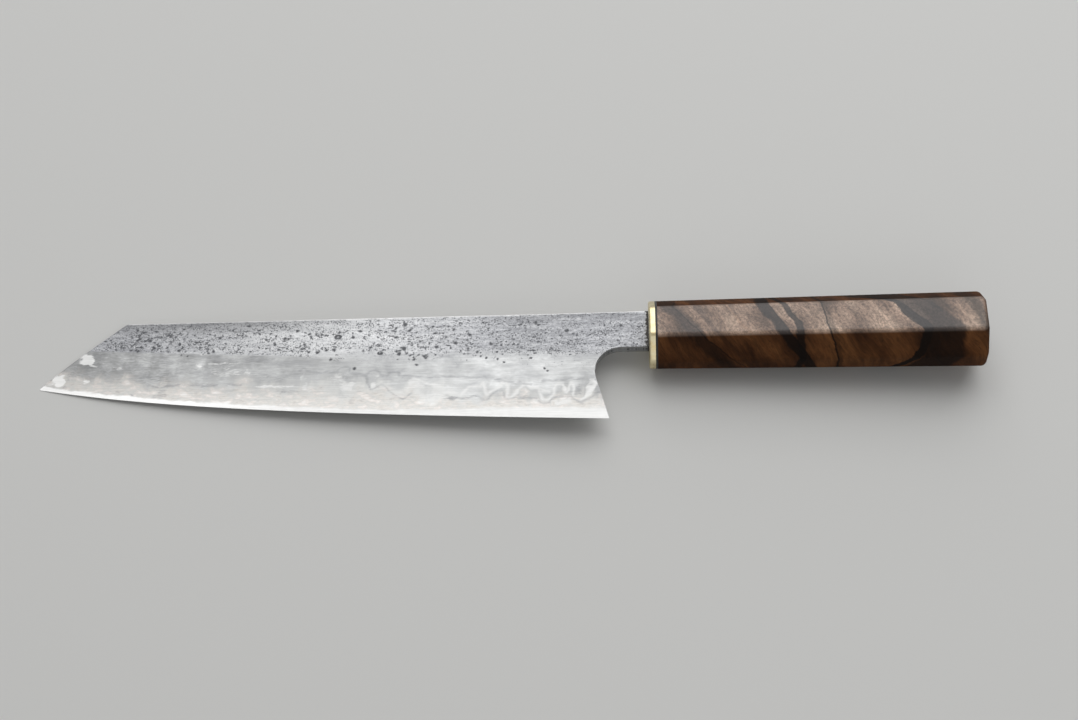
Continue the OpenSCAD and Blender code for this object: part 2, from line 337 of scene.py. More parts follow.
POLISH_CLOUDS_AND_GLINTS = tuple(Cloud(*row) for row in (
    (6.8, 3.8, 2.1, 1.7, -30, 1.5), (4.4, 3.0, 0.9, 2.7, 38, 0.5), (16.4, 12.0, 2.5, 1.1, -20, 1.2),
    (17.4, 13.9, 0.5, 3.2, 0, 0.7), (18.6, 9.8, 0.7, 4.0, -20, 0.75), (17.3, 3.1, 1.2, 1.6, 0, 0.7),
    (28.0, 8.6, 1.0, 3.4, 0, 0.35), (58.9, 8.4, 1.5, 1.3, -30, 0.75), (59.4, 13.9, 1.2, 1.6, 0, 0.65),
    (67.5, 9.4, 0.5, 16.0, 0, 0.6), (69.5, 5.8, 2.0, 3.6, 0, 0.42), (76.8, 6.2, 2.8, 0.35, 0, 0.5),
    (82.0, 6.8, 0.5, 8.0, 0, 0.4), (88.0, -0.6, 0.8, 12.0, -1, 0.75), (98.7, -0.9, 1.1, 1.5, 70, 0.6),
    (100.6, -2.1, 1.3, 1.5, 15, 0.45), (97.8, 4.0, 3.2, 0.3, 0, 0.5), (114.5, -1.4, 2.0, 2.1, 0, 0.7),
    (111.0, 2.4, 3.0, 1.5, 0, 0.45), (124.3, 0.6, 1.5, 2.4, 75, 0.5), (123.5, -1.6, 1.6, 1.4, 0, 0.6),
    (139.0, -0.2, 2.4, 1.4, -35, 0.6), (203.4, -3.6, 2.0, 1.9, 62, 0.8),
    (201.4, -7.4, 1.4, 1.9, 50, 0.6), (193.0, -9.2, 1.6, 3.1, 0, 0.8),
    (183.5, -10.2, 1.6, 2.8, 0, -0.2), (45.5, 2.0, 9.0, 0.36, 0, -0.35),
    (12.0, 6.0, 2.2, 1.6, 30, -0.4), (92.0, -2.6, 1.2, 4.7, 0, -0.35),
    (35.3, -3.6, 0.8, 2.4, -45, -0.75), (43.2, -3.8, 0.7, 1.4, 0, -0.4),
    (152.5, -6.6, 1.4, 2.9, 0, -0.4), (178.5, -6.2, 1.2, 3.8, 0, -0.35),
    (118.2, -2.6, 1.8, 1.0, 0, -0.3), (81.0, -6.5, 1.0, 1.2, -30, -0.35),
    (78.0, 11.6, 1.7, 10.0, 0, -0.35), (5.5, 0.6, 1.3, 4.0, 0, -0.6), (88.0, 3.6, 2.4, 3.7, 0, -0.25),
    (198.5, -3.6, 3.4, 0.5, 0, -0.45),
))

PALE_RIBBONS = (
    ((156.0, -6.2), (157.5, -3.9), (160.0, -2.6), (163.1, -2.3), (164.4, -0.9), (165.0, -4.0),
     (165.8, -5.7), (167.2, -4.2), (170.0, -2.9), (171.3, -0.6), (172.6, -0.7), (173.3, -4.0),
     (173.2, -6.7), (174.4, -6.9), (176.3, -5.0), (178.8, -2.6), (180.3, -1.6), (181.3, -3.1),
     (184.0, -3.4), (185.0, -5.2), (185.8, -7.6), (187.0, -8.4), (188.6, -7.8), (189.8, -6.4),
     (190.3, -3.8), (190.9, -2.2), (193.0, -2.0), (194.0, -4.0), (194.8, -5.2), (195.8, -3.2),
     (196.8, -1.9), (197.3, -5.0), (197.2, -6.8)),
    ((181.5, -3.2), (185.2, -4.2), (188.6, -5.4)),
    ((146.0, -4.6), (149.0, -5.4), (151.5, -4.6), (154.0, -5.0), (156.0, -6.2)),
    ((139.0, 1.7), (141.5, 0.4), (145.0, -1.2), (148.5, -1.8)),
    ((200.0, -8.6), (202.0, -7.2), (203.6, -4.6), (205.4, -2.2)),
)

GREY_SEAMS = (
    ((152.0, -6.6), (157.0, -7.2), (160.5, -6.0), (162.6, -6.6), (165.0, -8.1), (166.4, -7.2),
     (167.8, -5.2), (170.2, -4.1), (171.6, -5.2), (172.5, -7.5), (176.3, -7.2), (180.0, -7.5),
     (183.2, -7.9), (184.4, -8.8), (186.3, -10.0), (188.1, -9.6), (190.0, -7.5), (192.5, -7.2),
     (196.3, -7.8), (198.6, -9.0), (200.0, -9.6), (202.5, -8.4), (204.4, -6.9), (207.0, -5.3)),
    ((96.5, 6.0), (98.2, 6.6), (100.2, 5.3), (102.5, 4.6), (106.0, 4.9), (110.0, 5.3), (112.6, 6.8),
     (114.6, 6.4), (115.1, 4.7), (116.6, 4.1), (119.6, 3.7), (121.2, 3.6), (122.6, 5.0), (124.6, 5.2),
     (126.0, 4.2), (126.6, 3.1), (129.0, 3.1), (130.1, 4.1), (131.6, 4.5), (132.9, 4.1), (133.5, 2.8),
     (136.0, 2.5), (139.4, 2.1), (150.0, 2.0), (160.0, 1.7), (166.3, 1.1), (170.0, 0.2), (174.0, -0.7),
     (177.5, -1.3), (182.0, -1.9)),
    ((121.0, 3.0), (123.0, -2.6), (127.0, -1.0), (131.0, -4.6), (135.0, -6.6), (138.0, -4.6)),
    ((186.0, -0.8), (190.0, -0.4), (196.0, -0.2), (201.0, -0.1)),
    ((42.0, 0.4), (45.0, -0.2), (49.0, 0.6), (58.0, 0.8), (62.0, 0.2), (66.0, 0.5)),
    ((70.0, 0.7), (75.0, 0.3)),
    ((37.0, 4.0), (40.0, 4.4), (43.5, 3.6)),
)

MARK_NAMES = ("pit", "pale_mm", "grey_mm", "cloud", "along_mm", "across_mm", "edge_mm", "weld_mm",
              "shoulder_mm", "spine_mm")

# The marks of a face inside the blade: no pit, no cloud, no line near it, and far below the shoulder
HIDDEN_MARKS = {"pit": -1.0, "pale_mm": 3.0, "grey_mm": 3.0, "cloud": 0.0, "shoulder_mm": -9.0}

# Share of the small pits that stay, by their place along the blade in millimetres
PIT_SHARES = ((120, 0.8), (145, 1.0), (178, 1.0), (195, 0.5), (222, 0.4))


@dataclass(frozen=True)
class SideMarks:
    """What forging and polish left on one side: pits, clouds, pale ribbons and grey seams, with painted
    glints among the clouds.
    """

    seed: int
    pits: tuple[Pit, ...] = ()
    clouds: tuple[Cloud, ...] = ()
    pale: tuple[Line, ...] = ()
    grey: tuple[Line, ...] = ()
    small_pits: int = 420
    small_radii: Pair = (0.22, 0.46)
    small_stretch: Pair = (0.9, 2.1)
    small_turn_deg: float = 22.0
    pit_span: Pair = (22.0, 222.0)
    clump_counts: tuple[int, ...] = (1, 1, 2, 3)
    clump_spread: Pair = (1.5, 0.8)
    cell: float = 4.0
    ragged: float = 0.34
    ragged_size: float = 0.8
    sway: float = 1.5
    sway_size: float = 2.2
    line_sway: float = 0.35
    reach: float = 3.0
    bead: float = 0.2

    def scattered(self, blade: "Blade") -> list[Pit]:
        """Scatters small pits over the flat, alone and in clumps.

        Args:
            blade: The blade whose flat they lie on.

        Returns:
            The pits.
        """
        draw = random.Random(self.seed)
        made: list[Pit] = []
        while len(made) < self.small_pits:
            u = draw.uniform(*self.pit_span)
            w = mix(blade.shoulder_w(u), blade.spine_w(u), draw.triangular(-0.02, 1.0, 0.3))
            if draw.random() > along_table(u, PIT_SHARES):
                continue
            for _ in range(draw.choice(self.clump_counts)):
                made.append(Pit(
                    u + draw.gauss(0, self.clump_spread[0]), w + draw.gauss(0, self.clump_spread[1]),
                    draw.uniform(*self.small_radii), draw.uniform(*self.small_stretch),
                    draw.gauss(0, self.small_turn_deg)))
        return made

    def by_cell(self, blade: "Blade") -> dict[tuple[int, int], list[Pit]]:
        """Sorts all pits into the cells of a square grid.

        Args:
            blade: The blade that they lie on.

        Returns:
            The pits that reach each cell.
        """
        cells: dict[tuple[int, int], list[Pit]] = {}
        for pit in (*self.pits, *self.scattered(blade)):
            here = (math.floor(pit.u / self.cell), math.floor(pit.w / self.cell))
            for du in (-1, 0, 1):
                for dw in (-1, 0, 1):
                    cells.setdefault((here[0] + du, here[1] + dw), []).append(pit)
        return cells

    def beads(self, lines: Sequence[Sequence[Pair]]) -> kdtree.KDTree:
        """Strings close points along smoothed lines, so that the distance to them is quick to find.

        Args:
            lines: The lines, as corners in millimetres.

        Returns:
            The points in a search tree.
        """
        points: list[Vector] = []
        for line in lines:
            ends = [line[0], *line, line[-1]]
            for before, start, end, after in zip(ends, ends[1:], ends[2:], ends[3:]):
                a, b, c, d = (Vector(corner) for corner in (before, start, end, after))
                count = max(2, math.ceil((c - b).length / self.bead))
                for t in (k / count for k in range(count)):
                    bend = (2 * a - 5 * b + 4 * c - d) * t * t + (3 * b - a - 3 * c + d) * t ** 3
                    points.append((b + ((c - a) * t + bend) / 2).to_3d())
        tree = kdtree.KDTree(len(points))
        for index, point in enumerate(points):
            tree.insert(point, index)
        tree.balance()
        return tree

    def reader(self, blade: "Blade") -> Reader:
        """Gets everything ready to read the marks at any place.

        Args:
            blade: The blade that carries the marks.

        Returns:
            A function of u and w that gives the mark values by name.
        """
        cells = self.by_cell(blade)
        pale, grey = self.beads(self.pale), self.beads(self.grey)

        def read(u: float, w: float) -> dict[str, float]:
            """Reads the marks at one place.

            Args:
                u: Place along the blade.
                w: Place across it.

            Returns:
                The mark values by name.
            """
            deepest = -1.0
            near = cells.get((math.floor(u / self.cell), math.floor(w / self.cell)))
            if near:
                rag = noise.noise_vector(Vector((u, w, self.seed)) / self.ragged_size) * self.ragged
                deepest = max(-1.0, *(pit.depth(u + rag.x, w + rag.y) for pit in near))
            here = Vector((u, w, 0.0))
            push = noise.noise_vector(Vector((u, w, -self.seed)) / self.sway_size) * self.sway
            frayed = here + push.xy.to_3d() * self.line_sway
            return {
                "pit": deepest,
                "pale_mm": min(self.reach, pale.find(frayed)[2]),
                "grey_mm": min(self.reach, grey.find(frayed)[2]),
                "cloud": sum(cloud.value(u, w, push) for cloud in self.clouds),
            }

        return read


@dataclass(frozen=True)
class Blade:
    """The laminated blade: its outline, its section and its three layers, in millimetres."""

    lay: Lay
    edge_len: float = 210.0
    heel_drop: float = 16.25
    belly_reach: float = 66.0
    belly_fall: float = 0.0285
    point_len: float = 30.0
    point_rise: float = 27.4
    spine_rise: float = 28.0
    point_bow: float = 0.92
    notch_r: float = 9.8
    notch_ahead: float = 4.8
    heel_gap: float = 15.0
    neck_h: float = 15.25
    neck_t: float = 3.6
    # This far before the collar, the spine is level and the neck has its full thickness
    level_len: float = 3.0
    heel_t: float = 2.8
    mid_t: float = 2.1
    mid_u: float = 100.0
    point_t: float = 1.5
    tip_t: float = 0.9
    edge_t: float = 0.16
    bevel_belly: float = 0.3
    core_share: float = 0.36
    weld_step: float = 0.02
    bare_core_h: float = 7.4
    weld_wave: float = 0.9
    long_wave: float = 24.0
    short_wave: float = 10.5
    short_phase: float = 40.0
    shoulder_at_point: float = 17.0
    shoulder_at_heel: float = 6.5
    shoulder_bend: float = 0.9
    weld_out_u: float = 3.6
    shoulder_out_u: float = 17.9
    weld_at_cut: float = 0.64
    point_zone_u: float = 45.0
    heel_zone_len: float = 20.0
    collar_len: float = 2.4
    tang_len: float = 90.0
    tang_h: float = 9.5
    tang_end_h: float = 5.0
    tang_end_t: float = 2.4
    tang_drop: float = 1.3
    pit_depth: float = 0.07
    rim_ease: float = 0.22
    rim_steps: int = 3

    # Rows of the net that follow the weld line, the notch, the shoulder, the neck, the tang and
    # the spine, and its columns in the point, the side, the heel, the neck and the tang
    weld_row: float = 2.0
    notch_row: float = 4.0
    shoulder_row: float = 6.0
    neck_row: float = 10.0
    tang_row: float = 11.0
    spine_row: float = 13.0
    point_cols: float = 9.0
    side_cols: float = 46.0
    heel_cols: float = 6.0
    neck_cols: float = 2.0
    tang_cols: float = 2.0

    @property
    def heel_col(self) -> float:
        """The column where the heel zone starts."""
        return self.point_cols + self.side_cols

    @property
    def neck_col(self) -> float:
        """The column along the finger notch, where the neck starts."""
        return self.heel_col + self.heel_cols

    @property
    def tang_col(self) -> float:
        """The column at the back of the collar, where the tang starts."""
        return self.neck_col + self.neck_cols

    @property
    def collar_u(self) -> float:
        """Where the collar's front face is."""
        return self.edge_len + self.heel_gap

    @property
    def neck_w0(self) -> float:
        """Height of the neck's lower side."""
        return self.spine_rise - self.neck_h

    @property
    def tang_w(self) -> float:
        """Height of the tang's middle line."""
        return self.neck_w0 + self.neck_h / 2 - self.tang_drop

    def edge_w(self, u: float) -> float:
        """Finds the height of the cutting edge.

        Args:
            u: Place along the knife, in millimetres.

        Returns:
            The height.
        """
        span = 1 - math.exp(-self.edge_len / self.belly_reach)
        depth = (self.heel_drop - self.belly_fall * self.edge_len) / span
        return -(self.belly_fall * u + depth * (1 - math.exp(-u / self.belly_reach)))

    def spine_w(self, u: float) -> float:
        """Returns the height of the spine at u."""
        run = self.collar_u - self.level_len - self.point_len
        return min(self.spine_rise, mix(self.point_rise, self.spine_rise, (u - self.point_len) / run))

    def point_w(self, u: float) -> float:
        """Returns the height of the slanted back edge of the point at u."""
        return self.point_rise * (u / self.point_len) ** self.point_bow

    def shoulder_w(self, u: float) -> float:
        """Returns the height of the line where flat and bevel part company."""
        share = (min(u, self.edge_len) / self.edge_len) ** self.shoulder_bend
        return mix(self.shoulder_at_point, self.shoulder_at_heel, share)

    def weld_w(self, u: float) -> float:
        """Returns the height of the weld line without its waves."""
        return self.edge_w(u) + self.bare_core_h

    def wave(self, u: float) -> float:
        """Finds how far the weld line waves up or down.

        Args:
            u: Place along the knife, in millimetres.

        Returns:
            The distance, upwards.
        """
        long = math.sin(math.tau * u / self.long_wave)
        short = math.sin(math.tau * u / self.short_wave + math.radians(self.short_phase))
        return self.weld_wave * (long + 0.6 * short)

    def flat_half(self, u: float) -> float:
        """Finds half the thickness of the flats.

        Args:
            u: Place along the knife, in millimetres.

        Returns:
            Half the thickness.
        """
        neck_end = self.collar_u + self.collar_len
        return along_table(u, (
            (0.0, self.tip_t / 2),
            (self.point_len, self.point_t / 2),
            (self.mid_u, self.mid_t / 2),
            (self.edge_len - self.heel_zone_len, self.heel_t / 2),
            (self.collar_u - self.level_len, self.neck_t / 2),
            (neck_end, self.neck_t / 2),
            (neck_end + self.tang_len, self.tang_end_t / 2),
        ))

    def half(self, u: float, w: float) -> float:
        """Finds half the blade's thickness at a place on its side.

        Args:
            u: Place along the blade.
            w: Place across it.

        Returns:
            Half the thickness.
        """
        low = self.edge_w(u)
        share = (w - low) / (self.shoulder_w(u) - low)
        full = 1.0 if share >= 1 else share + self.bevel_belly * share * (1 - share)
        return mix(self.edge_t / 2, self.flat_half(u), full)

    def by_row(self, row: float, at_edge: float, at_weld: float, at_shoulder: float,
               at_spine: float) -> float:
        """Reads a value for a row off the values of four main rows.

        Args:
            row: Row of the net.
            at_edge: Value at the edge.
            at_weld: Value at the weld.
            at_shoulder: Value at the shoulder.
            at_spine: Value at the spine.

        Returns:
            The value.
        """
        return along_table(row, (
            (0.0, at_edge), (self.weld_row, at_weld),
            (self.shoulder_row, at_shoulder), (self.spine_row, at_spine),
        ))

    def side_at(self, u: float, row: float) -> Pair:
        """Returns the place of a row on an upright column at u."""
        return (u, self.by_row(row, self.edge_w(u), self.weld_w(u), self.shoulder_w(u),
                               self.spine_w(u)))

    def point_at(self, row: float) -> Pair:
        """Returns where a row starts on the slanted back edge of the point."""
        u = self.by_row(row, 0.0, self.weld_out_u, self.shoulder_out_u, self.point_len)
        return (u, self.point_w(u))

    def neck_at(self, u: float, row: float) -> Pair:
        """Finds the place of a row in the neck.

        Args:
            u: Place along the knife, in millimetres.
            row: Row of the net.

        Returns:
            The place as u and w.
        """
        return (u, along_table(row, (
            (self.neck_row, self.neck_w0),
            (self.tang_row, self.tang_w - self.tang_h / 2),
            (self.tang_row + 1, self.tang_w + self.tang_h / 2),
            (self.spine_row, self.spine_rise),
        )))

    def notch_at(self, row: float) -> Pair:
        """Returns where a row ends: on the cut up from the heel, on the notch or above it.

        Args:
            row: Row of the net.

        Returns:
            The place as u and w in millimetres.
        """
        heel = Vector((self.edge_len, -self.heel_drop))
        centre = Vector((self.edge_len + self.notch_ahead, self.neck_w0 - self.notch_r))
        across = centre - heel
        lean = math.atan2(across.y, across.x) + math.asin(self.notch_r / across.length)
        run = math.sqrt(across.length_squared - self.notch_r ** 2)
        if row <= self.notch_row:
            step = run * along_table(row, ((0.0, 0.0), (self.weld_row, self.weld_at_cut),
                                           (self.notch_row, 1.0)))
            return (heel.x + step * math.cos(lean), heel.y + step * math.sin(lean))
        if row <= self.neck_row:
            share = (row - self.notch_row) / (self.neck_row - self.notch_row)
            turn = mix(lean + math.pi / 2, math.pi / 2, share)
            return (centre.x + self.notch_r * math.cos(turn), centre.y + self.notch_r * math.sin(turn))
        return self.neck_at(centre.x, row)

    def across_zone(self, start: Pair, end: Pair, share: float, row: float) -> Pair:
        """Finds a place between two ends of a row, with the lowest rows kept to the true edge.

        Args:
            start: The row's first end.
            end: The row's other end.
            share: The share of the way between them.
            row: Row of the net.

        Returns:
            The place as u and w.
        """
        u = mix(start[0], end[0], share)
        sag = self.edge_w(u) - mix(self.edge_w(start[0]), self.edge_w(end[0]), share)
        return (u, mix(start[1], end[1], share) + max(0.0, 1.0 - row) * sag)

    def net_at(self, col: float, row: float) -> Pair:
        """Returns the place on the side of the blade of a column and a row of the net.

        Args:
            col: Column, from 0 at the point to the end of the tang.
            row: Row, from 0 at the edge to spine_row at the spine.

        Returns:
            The place as u and w in millimetres.
        """
        heel_u = self.edge_len - self.heel_zone_len
        if col <= self.point_cols:
            amount = col / self.point_cols
            place = self.across_zone(self.point_at(row), self.side_at(self.point_zone_u, row),
                                     amount, row)
        elif col <= self.heel_col:
            amount = 1.0
            share = (col - self.point_cols) / self.side_cols
            place = self.side_at(mix(self.point_zone_u, heel_u, share), row)
        elif col <= self.neck_col:
            share = (col - self.heel_col) / self.heel_cols
            amount = 1.0 - share
            place = self.across_zone(self.side_at(heel_u, row), self.notch_at(row), share, row)
        elif col <= self.tang_col:
            share = (col - self.neck_col) / self.neck_cols
            start = self.edge_len + self.notch_ahead
            return self.neck_at(mix(start, self.collar_u + self.collar_len, share), row)
        else:
            share = (col - self.tang_col) / self.tang_cols
            height = mix(self.tang_h, self.tang_end_h, share)
            u = self.collar_u + self.collar_len + share * self.tang_len
            return (u, self.tang_w + (row - self.tang_row - 0.5) * height)
        swell = max(0.0, 1.0 - abs(row - self.weld_row)) * amount * self.wave(place[0])
        return (place[0], place[1] + swell)

    def core_half_at(self, col: float, row: float) -> float:
        """Finds half the thickness of the core steel.

        Args:
            col: Column of the net.
            row: Row of the net.

        Returns:
            Half the thickness.
        """
        whole = self.half(*self.net_at(col, row))
        if row < self.weld_row:
            return whole
        share = min(1.0, row - self.weld_row)
        return mix(whole - self.weld_step, self.core_share * whole, share)

    def outer_half_at(self, col: float, row: float) -> float:
        """Returns half the thickness of the whole blade at a column and a row of the net."""
        return self.half(*self.net_at(col, row))

    def wandering_lines(self, seed: int, count: int, low: float, high: float) -> tuple[Line, ...]:
        """Draws lines that wander along the blade at some height above its edge.

        Args:
            seed: Makes the lines the same on each run.
            count: How many lines.
            low: Lowest height above the edge.
            high: Greatest height above the edge.

        Returns:
            The lines, as corners in millimetres.
        """
        draw = random.Random(seed)
        starts, lengths, strides, drift = (0.1, 0.85), (12.0, 45.0), (0.6, 2.6), 1.5
        lines = []
        for _ in range(count):
            u = draw.uniform(*starts) * self.edge_len
            height = draw.uniform(low, high)
            stop = min(0.98 * self.edge_len, u + draw.uniform(*lengths))
            line = []
            while u < stop:
                line.append((u, self.edge_w(u) + height))
                u += draw.uniform(*strides)
                height = min(high, max(low, height + draw.gauss(0, drift)))
            lines.append(tuple(line))
        return tuple(lines)


@dataclass(frozen=True)
class NetSteps:
    """How finely a layer's net is divided: pairs of a column or row and the cells up to it."""

    cols: Steps = ((9.0, 84), (55.0, 322), (61.0, 44))
    neck_cols: Steps = ((63.0, 28),)
    tang_cols: Steps = ((65.0, 6),)
    rows: Steps = (
        (2.0, 10), (6.0, 36), (10.0, 18), (11.0, 5), (12.0, 10), (13.0, 5))

    @staticmethod
    def marks(start: float, steps: Steps) -> list[float]:
        """Lists every division from a start through the given stretches.

        Args:
            start: The first division.
            steps: Ends of the stretches and the cells in each.

        Returns:
            The divisions, in rising order.
        """
        marks = [start]
        for end, cells in steps:
            first = marks[-1]
            marks.extend(mix(first, end, k / cells) for k in range(1, cells + 1))
        return marks


FINE_NET = NetSteps()
CORE_NET = NetSteps(rows=((2.0, 20), (3.0, 3), (6.0, 3), (10.0, 4), (11.0, 1), (12.0, 2), (13.0, 1)))


def net_sheet(bm: Mesh, cols: Sequence[float], rows: Sequence[float]) -> None:
    """Adds a flat sheet whose corners lie at the given columns and rows.

    Args:
        bm: The mesh that gets the sheet.
        cols: Places of the columns, which become x.
        rows: Places of the rows, which become y.
    """
    made = bmesh.ops.create_grid(bm, x_segments=len(cols) - 1, y_segments=len(rows) - 1, size=0.5)
    for vert in made["verts"]:
        col = round((vert.co.x + 0.5) * (len(cols) - 1))
        row = round((vert.co.y + 0.5) * (len(rows) - 1))
        vert.co = (cols[col], rows[row], 0.0)


def show_piece(bm: Mesh, name: str, material: Material,
               node: str, crease_deg: float = 32.0) -> bpy.types.Object:
    """Makes a finished mesh a piece of the knife.

    Args:
        bm: The finished mesh, in the frame's metres. It is freed.
        name: The piece's name.
        material: Its finish.
        node: The CAD node that the piece stands for.
        crease_deg: Edges bent by more than this stay sharp.

    Returns:
        The new object.
    """
    mesh = bpy.data.meshes.new(name)
    bm.to_mesh(mesh)
    bm.free()
    mesh.shade_smooth()
    mesh.set_sharp_from_angle(angle=math.radians(crease_deg))
    mesh.materials.append(material)
    piece = bpy.data.objects.new(name, mesh)
    bpy.context.scene.collection.objects.link(piece)
    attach(piece, BODY)
    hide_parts(node)
    LOG.info("%s: %d faces", name, len(mesh.polygons))
    return piece


@dataclass(frozen=True)
class BladeLayer:
    """One forged layer of the blade, between two heights over the net."""

    name: str
    blade: Blade
    steps: NetSteps
    first_row: float
    low: Callable[[float, float], float]
    high: Callable[[float, float], float]
    readers: Mapping[Side, Reader]
    outer: Side | None = None

    @property
    def level(self) -> float:
        """Where the outer face is while the sheet is still in columns and rows."""
        return 0.0 if self.outer is Side.LEFT else -1.0

    def on_outer(self, depth: float) -> bool:
        """Says whether a depth of the thickened sheet is that of the outer face."""
        return abs(depth - self.level) < 0.5

    def sheet(self) -> Mesh:
        """Makes the layer's flat sheet in columns and rows: the side, the neck and the tang.

        Returns:
            The sheet.
        """
        bm = bmesh.new()
        blade = self.blade
        rows = [row for row in self.steps.marks(0.0, self.steps.rows) if row >= self.first_row]
        neck_rows = [row for row in rows if row >= blade.neck_row]
        tang_rows = [row for row in rows if blade.tang_row <= row <= blade.tang_row + 1]
        net_sheet(bm, self.steps.marks(0.0, self.steps.cols), rows)
        net_sheet(bm, self.steps.marks(blade.neck_col, self.steps.neck_cols), neck_rows)
        net_sheet(bm, self.steps.marks(blade.tang_col, self.steps.tang_cols), tang_rows)
        bmesh.ops.remove_doubles(bm, verts=bm.verts[:], dist=SAME_STEP)
        return bm

    def rim(self, bm: Mesh) -> list[bmesh.types.BMEdge]:
        """Finds the edges round the outer face, apart from those along the weld line.

        Args:
            bm: The thickened sheet, still in columns and rows.

        Returns:
            The edges.
        """
        found = []
        for edge in bm.edges:
            ends = [vert.co for vert in edge.verts]
            flat = all(self.on_outer(co.z) for co in ends)
            on_weld = all(co.y <= self.blade.weld_row + SAME_STEP for co in ends)
            walls = [face for face in edge.link_faces if abs(face.normal.z) < 0.5]
            if flat and walls and not on_weld:
                found.append(edge)
        return found

    def shape(self, bm: Mesh) -> None:
        """Carries the thickened sheet to its place and writes the marks on the faces that show.

        Args:
            bm: The thickened sheet, in columns and rows.
        """
        blade = self.blade
        layers = {name: bm.verts.layers.float.get(name) for name in MARK_NAMES}
        for vert in bm.verts:
            col, row, depth = vert.co
            u, w = blade.net_at(col, row)
            upper = depth > -0.5
            n = self.high(col, row) if upper else self.low(col, row)
            values = {
                "along_mm": u,
                "across_mm": w,
                "edge_mm": w - blade.edge_w(u),
                "weld_mm": w - blade.weld_w(u) - blade.wave(u),
                "shoulder_mm": w - blade.shoulder_w(u),
                "spine_mm": blade.spine_w(u) - w,
            }
            if self.outer is None or self.on_outer(depth):
                values |= self.readers[self.outer or (Side.LEFT if upper else Side.RIGHT)](u, w)
                if self.outer and values["pit"] > 0:
                    n -= self.outer.value * blade.pit_depth * math.sqrt(values["pit"])
            else:
                values |= HIDDEN_MARKS
            for name, value in values.items():
                vert[layers[name]] = value
            vert.co = blade.lay.place(u, w, n)

    def build(self, material: Material, slot: str) -> bpy.types.Object:
        """Builds the layer.

        Args:
            material: Its finish.
            slot: The record's material slot; not used.

        Returns:
            The new object, which stands for the CAD node of the same name.
        """
        bm = self.sheet()
        for name in MARK_NAMES:
            bm.verts.layers.float.new(name)
        grown = bmesh.ops.extrude_face_region(bm, geom=bm.faces[:])
        below = [item for item in grown["geom"] if isinstance(item, bmesh.types.BMVert)]
        bmesh.ops.translate(bm, verts=below, vec=(0.0, 0.0, -1.0))
        bmesh.ops.recalc_face_normals(bm, faces=bm.faces[:])
        rim = self.rim(bm) if self.outer else []
        self.shape(bm)
        if rim:
            bmesh.ops.bevel(bm, geom=rim, offset=self.blade.rim_ease * MM, offset_type="OFFSET",
                            segments=self.blade.rim_steps, profile=0.5, affect="EDGES",
                            clamp_overlap=True, material=-1)
            # Where the easing runs out beside a corner, it leaves two points on one place
            bmesh.ops.remove_doubles(bm, verts=bm.verts[:], dist=SAME_PLACE)
        return show_piece(bm, self.name + "_forged", material, self.name, crease_deg=40.0)


